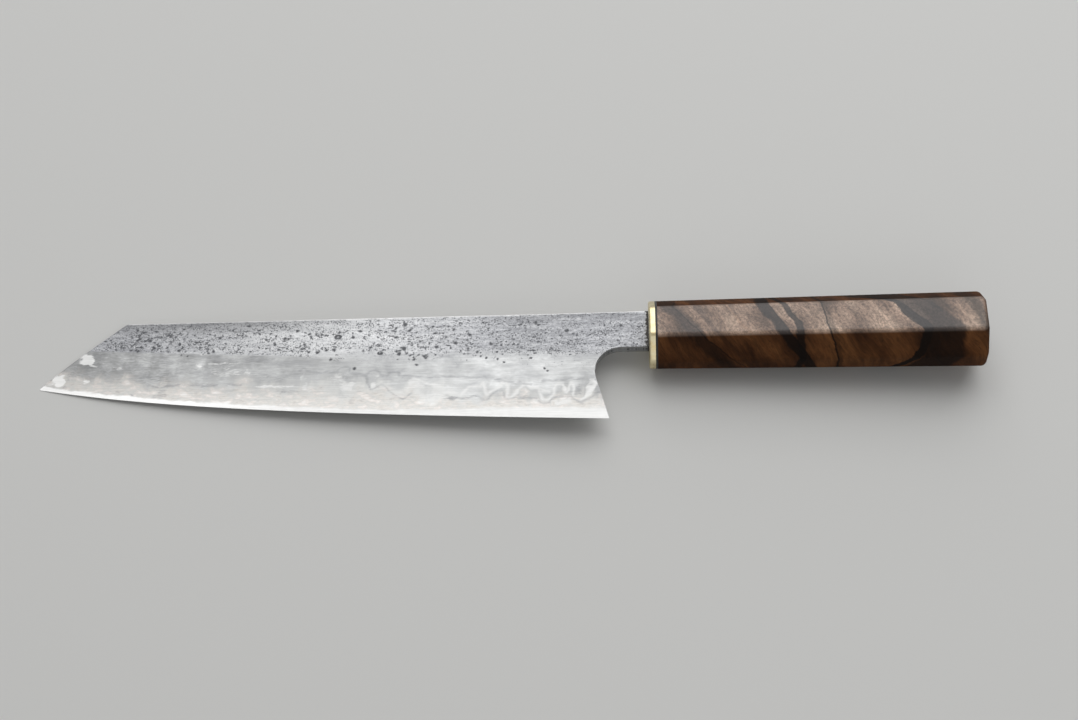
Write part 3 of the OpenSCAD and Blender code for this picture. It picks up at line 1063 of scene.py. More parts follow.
@dataclass(frozen=True)
class Handle:
    """The collar, liner and eight-sided handle, in millimetres."""

    lay: Lay
    start_u: float = 225.0
    length: float = 123.0
    front_h: float = 26.4
    front_t: float = 20.3
    butt_h: float = 27.8
    butt_t: float = 22.7
    chamfer: float = 7.5
    axis_w: float = 18.7
    side_r: float = 2.4
    side_steps: int = 5
    butt_r: float = 2.2
    butt_steps: int = 6
    collar_len: float = 2.4
    collar_ease: float = 0.8
    collar_steps: int = 4
    # The bevel of the CAD collar; the knife lies on the edge behind it
    solid_collar_ease: float = 0.4
    liner_len: float = 0.8
    bore_r: float = 6.5
    dowel_len: float = 100.0
    glue_gap: float = 0.3
    rod_sides: int = 64
    # How far a cut starts outside the piece
    cut_past: float = 1.0

    def height(self, u: float) -> float:
        """Returns the handle's height at u."""
        return mix(self.front_h, self.butt_h, (u - self.start_u) / self.length)

    def thickness(self, u: float) -> float:
        """Returns the handle's thickness at u."""
        return mix(self.front_t, self.butt_t, (u - self.start_u) / self.length)

    def bar(self, u0: float, u1: float) -> Mesh:
        """Makes a plain eight-sided stretch of the handle with softened corners between its sides.

        Args:
            u0: Where it starts.
            u1: Where it ends.

        Returns:
            The stretch in u, w and n, in millimetres.
        """
        bm = bmesh.new()
        bmesh.ops.create_cube(bm, size=1.0)
        bmesh.ops.scale(bm, vec=(u1 - u0, self.height(u0), self.thickness(u0)), verts=bm.verts[:])
        bmesh.ops.translate(bm, vec=((u0 + u1) / 2, 0.0, 0.0), verts=bm.verts[:])
        for offset, steps in (
            (self.chamfer, 1),
            (self.side_r * math.tan(math.pi / 8), self.side_steps),
        ):
            long_edges = [edge for edge in bm.edges
                          if abs(edge.verts[0].co.x - edge.verts[1].co.x) > (u1 - u0) / 2]
            bmesh.ops.bevel(bm, geom=long_edges, offset=offset, offset_type="OFFSET", segments=steps,
                            profile=0.5, affect="EDGES", clamp_overlap=False, material=-1)
        grow_w = (self.height(u1) - self.height(u0)) / 2
        grow_n = (self.thickness(u1) - self.thickness(u0)) / 2
        for vert in bm.verts:
            if vert.co.x > (u0 + u1) / 2:
                vert.co.y += math.copysign(grow_w, vert.co.y)
                vert.co.z += math.copysign(grow_n, vert.co.z)
            vert.co.y += self.axis_w
        return bm

    def ease_end(self, bm: Mesh, u: float, radius: float, steps: int) -> None:
        """Rounds the rim of an end face.

        Args:
            bm: The stretch of the handle.
            u: Where the face is.
            radius: How far the rounding reaches.
            steps: How many faces it gets.
        """
        rim = [edge for edge in bm.edges if all(abs(vert.co.x - u) < SAME_STEP for vert in edge.verts)]
        bmesh.ops.bevel(bm, geom=rim, offset=radius, offset_type="OFFSET", segments=steps, profile=0.5,
                        affect="EDGES", clamp_overlap=True, material=-1)

    def lay_down(self, bm: Mesh) -> None:
        """Moves a mesh from u, w and n to where it lies in the frame."""
        for vert in bm.verts:
            vert.co = self.lay.place(*vert.co)

    def hollow(self, bm: Mesh, cutter: Mesh) -> Mesh:
        """Cuts one mesh out of another.

        Args:
            bm: The mesh to cut. It is freed.
            cutter: What is taken away. It is freed.

        Returns:
            The cut mesh.
        """
        made = []
        for source in (bm, cutter):
            mesh = bpy.data.meshes.new("cut")
            source.to_mesh(mesh)
            source.free()
            made.append(bpy.data.objects.new("cut", mesh))
            bpy.context.scene.collection.objects.link(made[-1])
        tool = made[0].modifiers.new("cut", "BOOLEAN")
        tool.operation = "DIFFERENCE"
        tool.solver = "EXACT"
        tool.object = made[1]
        graph = bpy.context.evaluated_depsgraph_get()
        cut = bmesh.new()
        cut.from_mesh(made[0].evaluated_get(graph).to_mesh())
        for spent in made:
            mesh = spent.data
            bpy.data.objects.remove(spent)
            bpy.data.meshes.remove(mesh)
        return cut

    def block(self, u0: float, u1: float, w: float, height: float, thickness: float) -> Mesh:
        """Makes a block across the knife's middle plane.

        Args:
            u0: Where it starts.
            u1: Where it ends.
            w: Height of its middle.
            height: Its height.
            thickness: Its thickness.

        Returns:
            The block in u, w and n, in millimetres.
        """
        bm = bmesh.new()
        bmesh.ops.create_cube(bm, size=1.0)
        bmesh.ops.scale(bm, vec=(u1 - u0, height, thickness), verts=bm.verts[:])
        bmesh.ops.translate(bm, vec=((u0 + u1) / 2, w, 0.0), verts=bm.verts[:])
        return bm

    def rod(self, u0: float, u1: float, radius: float) -> Mesh:
        """Makes a round rod on the handle's axis.

        Args:
            u0: Where it starts.
            u1: Where it ends.
            radius: Its radius.

        Returns:
            The rod in u, w and n, in millimetres.
        """
        bm = bmesh.new()
        bmesh.ops.create_cone(bm, cap_ends=True, segments=self.rod_sides, radius1=radius, radius2=radius,
                              depth=u1 - u0, matrix=Matrix.Rotation(math.pi / 2, 4, "Y"))
        bmesh.ops.translate(bm, vec=((u0 + u1) / 2, self.axis_w, 0.0), verts=bm.verts[:])
        return bm

    def collar(self, blade: Blade, material: Material) -> bpy.types.Object:
        """Builds the brass collar with its slot for the neck.

        Args:
            blade: The blade whose neck goes through it.
            material: The collar's finish.

        Returns:
            The new object.
        """
        back = self.start_u + self.collar_len
        bm = self.bar(self.start_u, back)
        self.ease_end(bm, self.start_u, self.collar_ease, self.collar_steps)
        slot = self.block(self.start_u - self.cut_past, back + self.cut_past,
                          blade.neck_w0 + blade.neck_h / 2,
                          blade.neck_h + 2 * self.glue_gap, blade.neck_t + 2 * self.glue_gap)
        bm = self.hollow(bm, slot)
        self.lay_down(bm)
        return show_piece(bm, "collar_polished", material, "brass_collar")

    def liner(self, material: Material) -> bpy.types.Object:
        """Builds the thin black liner behind the collar.

        Args:
            material: The liner's finish.

        Returns:
            The new object.
        """
        u0 = self.start_u + self.collar_len
        u1 = u0 + self.liner_len
        bm = self.hollow(self.bar(u0, u1), self.rod(u0 - self.cut_past, u1 + self.cut_past, self.bore_r))
        self.lay_down(bm)
        return show_piece(bm, "liner_sheet", material, "black_liner")

    def body(self, material: Material) -> bpy.types.Object:
        """Builds the wooden handle with its rounded butt and its bore for the dowel.

        Args:
            material: The wood's finish.

        Returns:
            The new object.
        """
        u0 = self.start_u + self.collar_len + self.liner_len
        butt = self.start_u + self.length
        bm = self.bar(u0, butt)
        self.ease_end(bm, butt, self.butt_r, self.butt_steps)
        bore_end = self.start_u + self.collar_len + self.dowel_len
        bm = self.hollow(bm, self.rod(u0 - self.cut_past, bore_end, self.bore_r))
        self.lay_down(bm)
        return show_piece(bm, "handle_wood", material, "handle_body")


@dataclass(frozen=True)
class Finish:
    """A node material. Each kind of finish says what its shader's inputs get."""

    name: str

    def inputs(self, tree: Tree) -> dict[str, object]:
        """Returns what the shader's inputs get, by name."""
        raise NotImplementedError

    def build(self) -> Material:
        """Builds the finish.

        Returns:
            The node material.
        """
        material = bpy.data.materials.new(self.name)
        material.use_nodes = True
        tree = Tree(material.node_tree)
        tree.graph.nodes.clear()
        surface = tree.add("BsdfPrincipled")
        tree.add("OutputMaterial", surface)
        for name, value in self.inputs(tree).items():
            tree.give(surface.node.inputs[name], value)
        return material


@dataclass(frozen=True)
class ForgedSteel(Finish):
    """Laminated steel, forged, then ground and polished on fine stones below the shoulder.

    The flat keeps the dark pits of the forge. The stones leave a hazy bevel with clouds, fine lines
    along the blade, pale and grey seams near the weld, and a bright edge. Painted light lies over
    them: glints near the point, highlights on the edge and the spine, and tones along the blade.
    """

    seed: float = 0.0
    span_mm: float = 220.0

    def tone_along(self, tree: Tree, read: Mapping[str, Socket], *stops: Pair) -> Socket:
        """Returns a tone that changes along the blade, from pairs of millimetres and tone."""
        share = tree.add("Math", read["along_mm"], 1 / self.span_mm, 0.0)
        return tree.add("ValToRGB", share, *((u / self.span_mm, tone) for u, tone in stops))

    def inputs(self, tree: Tree) -> dict[str, object]:
        """Draws the finish.

        Args:
            tree: The node tree.

        Returns:
            What the shader's inputs get, by name.
        """
        read = {name: tree.add("Attribute", attribute_name=name).node.outputs["Fac"]
                for name in MARK_NAMES}
        place = tree.add("CombineXYZ", read["along_mm"], read["across_mm"], self.seed)
        flow = tree.curled(place, (0.13, 0.21, 1.0), (3.2, 3.2, 0.0))
        # Lines of the stone along the blade, 0.3 mm apart and about 12 mm long
        lines = tree.grain(place, (0.08, 3.4, 1.0), 3.0, 0.6)

        bevel = self.bevel_colour(tree, read, flow)
        flat, pits = self.flat_colour(tree, read, place)
        # The border between flat and bevel is crisp near the point and melts away towards the heel
        fray = tree.grain(flow, (0.5, 0.9, 1.0), 4.0, 0.6)
        border = tree.add("Math", fray, 1.6, tree.add("Math", read["shoulder_mm"], 1.0, -0.8))
        border = tree.add("Math", tree.add("MapRange", read["along_mm"], 135.0, 175.0), -3.0, border)
        border = tree.add("Math.MULTIPLY", border,
                          tree.add("MapRange", read["along_mm"], 80.0, 118.0, 2.2, 0.24))
        colour = tree.add("Mix", tree.add("MapRange", border, -1.0, 1.0), bevel, flat)
        colour = tree.add("Mix", pits, colour, "#56575a")
        colour = tree.add("Mix.MULTIPLY", 1.0, colour, tree.add("MapRange", lines, 0.3, 0.7, 0.93, 1.07))
        # A painted highlight lies along the spine's eased edge, and adhesive darkens the neck in front
        # of the collar
        painted_sheen = tree.add("Math", fray, 0.5, read["spine_mm"])
        colour = tree.add("Mix", tree.add("MapRange", painted_sheen, 0.75, 0.45, 0.0, 0.5), colour, "#d8d8d7")
        smear = tree.add("MapRange", tree.add("Math", fray, 4.0, read["along_mm"]), 225.9, 226.3)
        colour = tree.add("Mix", smear, colour, "#1b1510")
        metal = tree.add("Math", smear, -1.0, 1.0)

        near_edge = tree.add("MapRange", read["edge_mm"], 10.0, 1.0)
        rough = tree.add("Math", near_edge, -0.1, tree.add("MapRange", fray, 0.3, 0.7, 0.38, 0.44))
        rough = tree.add("Math", pits, 0.2, rough)
        relief = tree.add("Math", pits, -1.0, tree.add("Math", lines, 0.05, 0.0))
        bump = tree.add("Bump", Strength=0.5, Distance=0.00004, Height=relief)
        return {"Metallic": metal, "Base Color": colour, "Roughness": rough, "Normal": bump}

    def bevel_colour(self, tree: Tree, read: Mapping[str, Socket], flow: Socket) -> Socket:
        """Draws the polished bevel: grey above, paler and warmer towards the edge, with painted light.

        Args:
            tree: The node tree.
            read: The mark values by name.
            flow: The curled place that the clouds are drawn on.

        Returns:
            The colour.
        """
        # Clouds of 8 x 4 mm, upright drifts of 7 x 15 mm and drawn-out wisps of 2 x 0.5 mm
        haze = tree.grain(flow, (0.12, 0.26, 1.0), 4.0)
        drifts = tree.grain(flow, (0.14, 0.065, 1.0), 4.0)
        wisps = tree.grain(flow, (0.45, 1.9, 1.0), 5.0, 0.65)
        bands = tree.grain(flow, (0.025, 0.6, 1.0), 4.0, 0.6)
        rightwards = tree.add("MapRange", read["along_mm"], 25.0, 120.0)
        lower = tree.add("ValToRGB", haze, (0.30, "#a1a2a3"), (0.5, "#b2b3b3"), (0.7, "#c3c4c4"))
        drifted = tree.add("Mix.MULTIPLY", 1.0, lower,
                           tree.add("MapRange", drifts, 0.35, 0.65, 0.79, 1.15))
        drifted = tree.add("Mix.MULTIPLY", 1.0, drifted,
                           tree.add("MapRange", wisps, 0.33, 0.67, 0.86, 1.13))
        lower = tree.add("Mix", tree.add("MapRange", rightwards, 0.0, 1.0, 1.0, 0.2), lower, drifted)
        lower = tree.add("Mix.MULTIPLY", 1.0, lower, tree.add("MapRange", bands, 0.3, 0.7, 0.94, 1.06))
        # A paler zone lies above the weld, painted darker towards the heel as shade, and below it the
        # clouds are cream and faintly pink
        weld = tree.add("Math", wisps, 4.0, tree.add("Math", read["weld_mm"], 1.0, -6.0))
        weld = tree.add("Math", haze, 9.0, tree.add("Math", drifts, 21.0, weld))
        zone = tree.add("Math.MULTIPLY", tree.add("MapRange", weld, 18.5, 12.5, 0.0, 0.8), rightwards)
        # Painted shade: the zone's colour darkens from 142 mm to the heel
        heelwards = tree.add("MapRange", read["along_mm"], 142.0, 172.0)
        lower = tree.add("Mix", zone, lower, tree.add("Mix", heelwards, "#cececc", "#a0a1a1"))
        # Painted light and the haze of the stones make the bevel darkest near the point and palest
        # before the heel
        lower = tree.add("Mix.MULTIPLY", 1.0, lower, self.tone_along(
            tree, read, (20, 0.64), (38, 0.68), (55, 0.77), (80, 0.71), (118, 0.74), (135, 0.81),
            (155, 0.92), (168, 1.0), (184, 0.96), (196, 0.85), (206, 0.73)))
        patches = tree.grain(flow, (0.16, 0.34, 1.0), 4.0, 0.6)
        cream = tree.add("ValToRGB", patches, (0.3, "#a09e9c"), (0.42, "#b4b1ad"), (0.5, "#acacaa"),
                         (0.58, "#b9b4b0"), (0.68, "#c3c2c0"))
        cream = tree.add("Mix.MULTIPLY", 1.0, cream, tree.add("MapRange", wisps, 0.3, 0.7, 0.95, 1.05))
        lower = tree.add("Mix", tree.add("MapRange", weld, 14.5, 8.5), lower, cream)
        # Pale and dark clouds, ribbons and seams, all frayed by the wisps; the strong pale clouds near
        # the point are painted glints, and the pale colour is painted lighter near the point than past
        # the middle
        pale_and_glare = tree.add("Mix", rightwards, "#d4d4d3", "#bebebd")
        for name, start, end, most, shade in (
            ("cloud", 0.25, 0.85, 0.85, pale_and_glare),
            ("cloud", -0.15, -0.8, 0.7, "#7b7c7e"),
            ("pale_mm", 1.15, -0.1, 0.85, pale_and_glare),
            ("grey_mm", 0.8, -0.2, 0.6, "#828385"),
        ):
            frayed = tree.add("Math", wisps, 1.5, tree.add("Math", read[name], 1.0, -1.25))
            frayed = tree.add("Math", patches, 1.0, frayed)
            lower = tree.add("Mix", tree.add("MapRange", frayed, start, end, 0.0, most), lower, shade)
        # The last millimetres before the edge are bright, more of them towards the heel: pale steel
        # under a painted highlight, which is painted paler near the point than past the middle
        reach = tree.add("MapRange", read["along_mm"], 120.0, 190.0, 0.0, -2.4)
        bright = tree.add("Math", read["edge_mm"], 1.0, reach)
        for ragged in (wisps, drifts):
            bright = tree.add("Math", ragged, 2.0, bright)
        return tree.add("Mix", tree.add("MapRange", bright, 4.2, 3.2), lower,
                        tree.add("Mix", rightwards, "#d8d8d7", "#b9b9b8"))

    def flat_colour(self, tree: Tree, read: Mapping[str, Socket],
                    place: Socket) -> tuple[Socket, Socket]:
        """Draws the flat: a mottled grey with specks and pits.

        Args:
            tree: The node tree.
            read: The mark values by name.
            place: The place along and across the blade, in millimetres.

        Returns:
            The colour and the mask of the pits.
        """
        fine = tree.grain(place, (0.55, 1.0, 1.0), 6.0, 0.66)
        smears = tree.grain(place, (0.05, 0.5, 1.0), 4.0, 0.55)
        mottle = tree.add("Math", fine, 0.6, tree.add("Math", smears, 0.4, 0.0))
        dull = tree.add("ValToRGB", mottle, (0.32, "#707175"), (0.5, "#98999c"), (0.66, "#bbbcbe"))
        fair = tree.add("ValToRGB", mottle, (0.32, "#9b9c9f"), (0.48, "#bbbcbd"), (0.66, "#cfcfd0"))
        wide = tree.grain(place, (0.035, 0.12, 1.0), 2.0)
        run = tree.add("Math", wide, 50.0, tree.add("Math", read["along_mm"], 1.0, -25.0))
        pale = tree.add("Math.MULTIPLY", tree.add("MapRange", run, 20.0, 105.0),
                        tree.add("MapRange", run, 100.0, 185.0, 1.0, 0.0))
        colour = tree.add("Mix", pale, dull, fair)
        # Partly painted light and shade along the blade, partly the flat's own tone
        colour = tree.add("Mix.MULTIPLY", 1.0, colour, self.tone_along(
            tree, read, (30, 1.0), (45, 0.92), (80, 0.88), (110, 0.9), (128, 0.95), (165, 0.96),
            (182, 0.84), (196, 0.86), (206, 0.95), (218, 0.88)))
        # The strip under the spine is darker, but not in the middle
        dim = tree.add(
            "Math.MULTIPLY", tree.add("MapRange", read["spine_mm"], 7.0, 0.5), self.tone_along(
                tree, read, (30, 0.32), (80, 0.42), (105, 0.2), (130, 0.0), (180, 0.14), (218, 0.14)))
        # Past the middle the flat darkens a little and loses its specks towards the bevel
        past = tree.add("MapRange", read["along_mm"], 82.0, 122.0)
        low = tree.add("Math.MULTIPLY", past, tree.add("MapRange", read["shoulder_mm"], 5.0, 0.8))
        dim = tree.add("Math", tree.add("Math.MULTIPLY", low, tree.add(
            "MapRange", read["along_mm"], 190.0, 160.0)), 0.14, dim)
        colour = tree.add("Mix.MULTIPLY", 1.0, colour, tree.add("Math", dim, -1.0, 1.0))
        # Specks of 0.3 to 0.5 mm, densest near the point and in drifts, and fewer of twice the size
        drift = tree.grain(place, (0.16, 0.3, 1.0), 2.0)
        thin = tree.add("MapRange", read["along_mm"], 60.0, 200.0, 0.15, 0.163)
        pits = tree.add("MapRange", self.ragged(tree, place, read["pit"]), -0.25, 0.6, 0.0, 0.95)
        for repeats, start in ((1.8, 0.55), (0.95, 0.575)):
            speck = tree.grain(place, (repeats, repeats * 1.25, 1.0), 2.0, 0.5)
            level = tree.add("Math", drift, 0.3, tree.add("Math", thin, -1.0, speck))
            level = tree.add("Math", low, -0.09, level)
            specks = tree.add(
                "Math.MULTIPLY", tree.add("MapRange", level, start, start + 0.1, 0.0, 0.88),
                tree.add("MapRange", tree.add("Math", past, 2.4, read["shoulder_mm"]), -0.2, 0.8))
            pits = tree.add("Math.MAXIMUM", specks, pits)
        return colour, pits

    def ragged(self, tree: Tree, place: Socket, pit: Socket) -> Socket:
        """Returns the pits' depth with a ragged rim."""
        rag = tree.grain(place, (2.2, 2.6, 1.0), 3.0, 0.6)
        return tree.add("Math", rag, 0.9, tree.add("Math", pit, 1.0, -0.45))


@dataclass(frozen=True)
class PaleBrass(Finish):
    """Pale yellow brass, sanded and polished, with a soft shine from handling."""

    def inputs(self, tree: Tree) -> dict[str, object]:
        """Draws the finish.

        Args:
            tree: The node tree.

        Returns:
            What the shader's inputs get, by name.
        """
        place = tree.add("TexCoord").node.outputs["Object"]
        # Light handling marks about 2 mm across, and sanding lines 0.1 mm apart round the collar
        marks = tree.grain(place, (500.0, 500.0, 500.0), 4.0)
        lines = tree.grain(place, (9000.0, 300.0, 300.0), 2.0)
        bump = tree.add("Bump", Strength=0.15, Distance=0.00002, Height=lines)
        return {
            "Metallic": 1.0,
            "Base Color": tree.add("ValToRGB", marks, (0.35, "#d0c096"), (0.65, "#e1d7b4")),
            "Roughness": tree.add("MapRange", marks, 0.3, 0.7, 0.26, 0.36),
            "Normal": bump,
        }


@dataclass(frozen=True)
class Streak:
    """A dark or pale sheet in the wood that shows as a slanting streak; sizes in millimetres.

    Its place is where it crosses the middle of the top side. It leans across the handle and through
    it, and is solid over its half width, then fades over its soft rim.
    """

    u: float
    lean_w: float
    lean_n: float
    half: float
    soft: float
    code: str
    strength: float


STREAKS = (
    Streak(237.6, 0.79, 0.5, 1.6, 2.6, "#382e2b", 0.75),
    Streak(239.4, 0.79, 0.8, 0.12, 0.4, "#1a1310", 0.7),
    Streak(246.4, 0.75, 0.5, 0.5, 2.0, "#3a2f2b", 0.5),
    Streak(257.6, 0.85, 0.3, 0.2, 0.7, "#a8846a", 0.55),
    Streak(270.0, 0.6, 0.42, 1.7, 1.2, "#231c1a", 0.9),
    Streak(272.0, 0.6, 0.42, 0.1, 0.5, "#1a1310", 0.7),
    Streak(277.0, 0.4, -0.3, 0.9, 0.8, "#1e1816", 0.9),
    Streak(289.3, 0.3, 0.0, 0.15, 0.4, "#18110e", 0.9),
    Streak(290.2, 0.35, -0.1, 0.3, 1.6, "#33251d", 0.5),
    Streak(319.4, 0.95, -1.3, 1.6, 0.7, "#1f1a19", 0.95),
    Streak(326.5, 0.9, -0.9, 6.2, 2.4, "#2a2321", 0.85),
    Streak(344.0, 0.5, 0.4, 1.2, 2.4, "#33291f", 0.7),
)


@dataclass(frozen=True)
class FiguredWood(Finish):
    """Figured brown wood, oiled and worked to a satin sheen, with slanting dark streaks and painted
    light.
    """

    lay: Lay
    handle: Handle
    streaks: tuple[Streak, ...] = STREAKS

    def inputs(self, tree: Tree) -> dict[str, object]:
        """Draws the finish.

        Args:
            tree: The node tree.

        Returns:
            What the shader's inputs get, by name.
        """
        place = self.knife_place(tree)
        bent = tree.curled(place, (0.07, 0.07, 0.07), (5.0, 5.0, 5.0))
        # The first axis goes across the streaks
        slant = tree.add("Mapping", bent, Rotation=(0.0, math.radians(12), math.radians(-33)))
        broad = tree.grain(slant, (0.11, 0.045, 0.045), 3.0, 0.5)
        veins = tree.grain(slant, (0.7, 0.1, 0.1), 4.0, 0.65)
        frayed = tree.grain(slant, (0.9, 0.25, 0.25), 6.0, 0.7)
        colour = tree.add("ValToRGB", broad, (0.30, "#503d30"), (0.42, "#7b614f"), (0.52, "#997c67"),
                          (0.66, "#be9f86"))
        colour = tree.add("Mix.MULTIPLY", 1.0, colour, tree.add("MapRange", veins, 0.3, 0.7, 0.64, 1.24))
        for streak in self.streaks:
            colour = tree.add("Mix", self.streak_mask(tree, bent, frayed, streak), colour, streak.code)
        # Fibres 0.25 mm wide, and pores as dark dashes about 0.3 x 1.5 mm along the streaks
        fibres = tree.grain(slant, (3.6, 0.5, 0.5), 3.0, 0.6)
        pores = tree.grain(slant, (2.6, 0.7, 0.7), 2.0, 0.5)
        stipple = tree.grain(place, (1.1, 1.1, 1.1), 5.0, 0.78)
        # Painted light: the broad sides are painted paler with a bluish white sheen, and the chamfers
        # are painted darker as shade in their deep brown; the same mask gives the broad sides their oil
        # coat
        worn_and_lit = tree.add("MapRange", self.below_side(tree, place), 1.2, 0.1)
        # Painted sheen: fine specks make the broad sides paler and darker
        painted_sheen = tree.add("Math.MULTIPLY", worn_and_lit, tree.add("MapRange", stipple, 0.36, 0.62, -0.34, 0.62))
        for tone in (tree.add("MapRange", fibres, 0.3, 0.7, 0.84, 1.14),
                     tree.add("Math", painted_sheen, 1.0, 1.0),
                     tree.add("MapRange", pores, 0.62, 0.72, 1.0, 0.62)):
            colour = tree.add("Mix.MULTIPLY", 1.0, colour, tone)
        # Painted sheen on the broad sides and painted shade on the chamfers
        colour = tree.add("Mix.MULTIPLY", 1.0, colour, tree.add("Mix", worn_and_lit, "#86694a", "#eff6ff"))
        relief = tree.add("Math", stipple, 1.0, tree.add("MapRange", pores, 0.6, 0.72, 0.0, -0.5))
        bump = tree.add("Bump", Strength=0.5, Distance=0.0001, Height=relief)
        rough = tree.add("Math", worn_and_lit, -0.3, tree.add("MapRange", stipple, 0.36, 0.64, 0.84, 0.74))
        # The oil was worked to a sheen on the broad sides and left thin and dry on the chamfers
        return {
            "Base Color": colour, "Roughness": rough, "Normal": bump, "Specular IOR Level": 0.12,
            "Coat Weight": worn_and_lit, "Coat Normal": bump, "Coat Roughness": 0.3,
        }

    def below_side(self, tree: Tree, place: Socket) -> Socket:
        """Measures how far a place lies below the handle's nearer broad side.

        Args:
            tree: The node tree.
            place: The place as u, w and n.

        Returns:
            The distance in millimetres.
        """
        parts = tree.add("SeparateXYZ", place).node.outputs
        handle = self.handle
        grow = (handle.butt_t - handle.front_t) / 2 / handle.length
        side = tree.add("Math", parts["X"], grow, handle.front_t / 2 - grow * handle.start_u)
        off = tree.add("Math.ABSOLUTE", parts["Z"])
        return tree.add("Math", off, -1.0, side)

    def knife_place(self, tree: Tree) -> Socket:
        """Turns object coordinates into u, w and n in millimetres.

        Args:
            tree: The node tree.

        Returns:
            The place.
        """
        lay = self.lay
        seen = tree.add("TexCoord").node.outputs["Object"]
        shift = (lay.centre_x * MM, lay.centre_y * MM, -lay.lift * MM)
        moved = tree.add("VectorMath.ADD", seen, shift)
        turned = tree.add("Mapping", moved, Rotation=(0.0, lay.tilt, 0.0))
        return tree.add("VectorMath.SCALE", turned, 1 / MM)

    def streak_mask(self, tree: Tree, place: Socket, frayed: Socket, streak: Streak) -> Socket:
        """Says where one streak shows.

        Args:
            tree: The node tree.
            place: The place as u, w and n.
            frayed: A noise that frays the streak's sides.
            streak: The streak.

        Returns:
            The mask.
        """
        top = self.handle.thickness(streak.u) / 2
        start = streak.u + streak.lean_w * self.handle.axis_w + streak.lean_n * top
        across = tree.add("VectorMath.DOT_PRODUCT", place, (1.0, streak.lean_w, streak.lean_n))
        fray = 1.2 + 2.0 * min(1.0, streak.soft)
        off = tree.add("Math", frayed, fray, tree.add("Math", across, 1.0, -start - fray / 2))
        far = tree.add("Math.ABSOLUTE", off)
        return tree.add("MapRange", far, streak.half + streak.soft, streak.half, 0.0, streak.strength)


@dataclass(frozen=True)
class PlainWood(Finish):
    """Plain pale dowel wood, planed and left dry."""

    def inputs(self, tree: Tree) -> dict[str, object]:
        """Draws the finish.

        Args:
            tree: The node tree.

        Returns:
            What the shader's inputs get, by name.
        """
        place = tree.add("TexCoord").node.outputs["Object"]
        # Straight grain along the dowel, 0.6 mm apart
        grain = tree.grain(place, (60.0, 1600.0, 1600.0), 4.0)
        shade = tree.add("ValToRGB", grain, (0.3, "#b28f60"), (0.7, "#d2b68b"))
        return {"Base Color": shade, "Roughness": 0.6}


@dataclass(frozen=True)
class DarkFiller(Finish):
    """A dark filler: pressed black liner sheet, or adhesive that set with a slight gloss."""

    deep: str
    light: str
    rough: float
    grit_per_m: float

    def inputs(self, tree: Tree) -> dict[str, object]:
        """Draws the finish.

        Args:
            tree: The node tree.

        Returns:
            What the shader's inputs get, by name.
        """
        place = tree.add("TexCoord").node.outputs["Object"]
        grit = tree.grain(place, (self.grit_per_m,) * 3)
        bump = tree.add("Bump", Strength=0.3, Distance=0.00004, Height=grit)
        shade = tree.add("ValToRGB", grit, (0.35, self.deep), (0.7, self.light))
        return {"Base Color": shade, "Roughness": self.rough, "Normal": bump}


@dataclass(frozen=True)
class FloorFinish(Finish):
    """A pale matt floor that carries soft shadow and melts into the pale surroundings far away."""

    code: str = "#dadad8"
    far_code: str = "#c3c3c2"
    fade_m: Pair = (0.45, 1.3)

    def inputs(self, tree: Tree) -> dict[str, object]:
        """Draws the finish.

        Args:
            tree: The node tree.

        Returns:
            What the shader's inputs get, by name.
        """
        place = tree.add("TexCoord").node.outputs["Object"]
        metres = tree.add("VectorMath.LENGTH", place)
        far = tree.add("Math.MULTIPLY", tree.add("MapRange", metres, *self.fade_m), tree.seen_directly())
        glow = tree.add("Emission", self.far_code)
        end = tree.graph.get_output_node("ALL").inputs["Surface"]
        tree.give(end, tree.add("MixShader", far, end.links[0].from_socket, glow))
        return {"Base Color": self.code, "Roughness": 0.9, "Specular IOR Level": 0.1}


@dataclass(frozen=True)
class Lamp:
    """One soft rectangular lamp that faces the knife; sizes and place in metres, power in watts."""

    name: str
    at: tuple[float, float, float]
    wide: float
    high: float
    watts: float


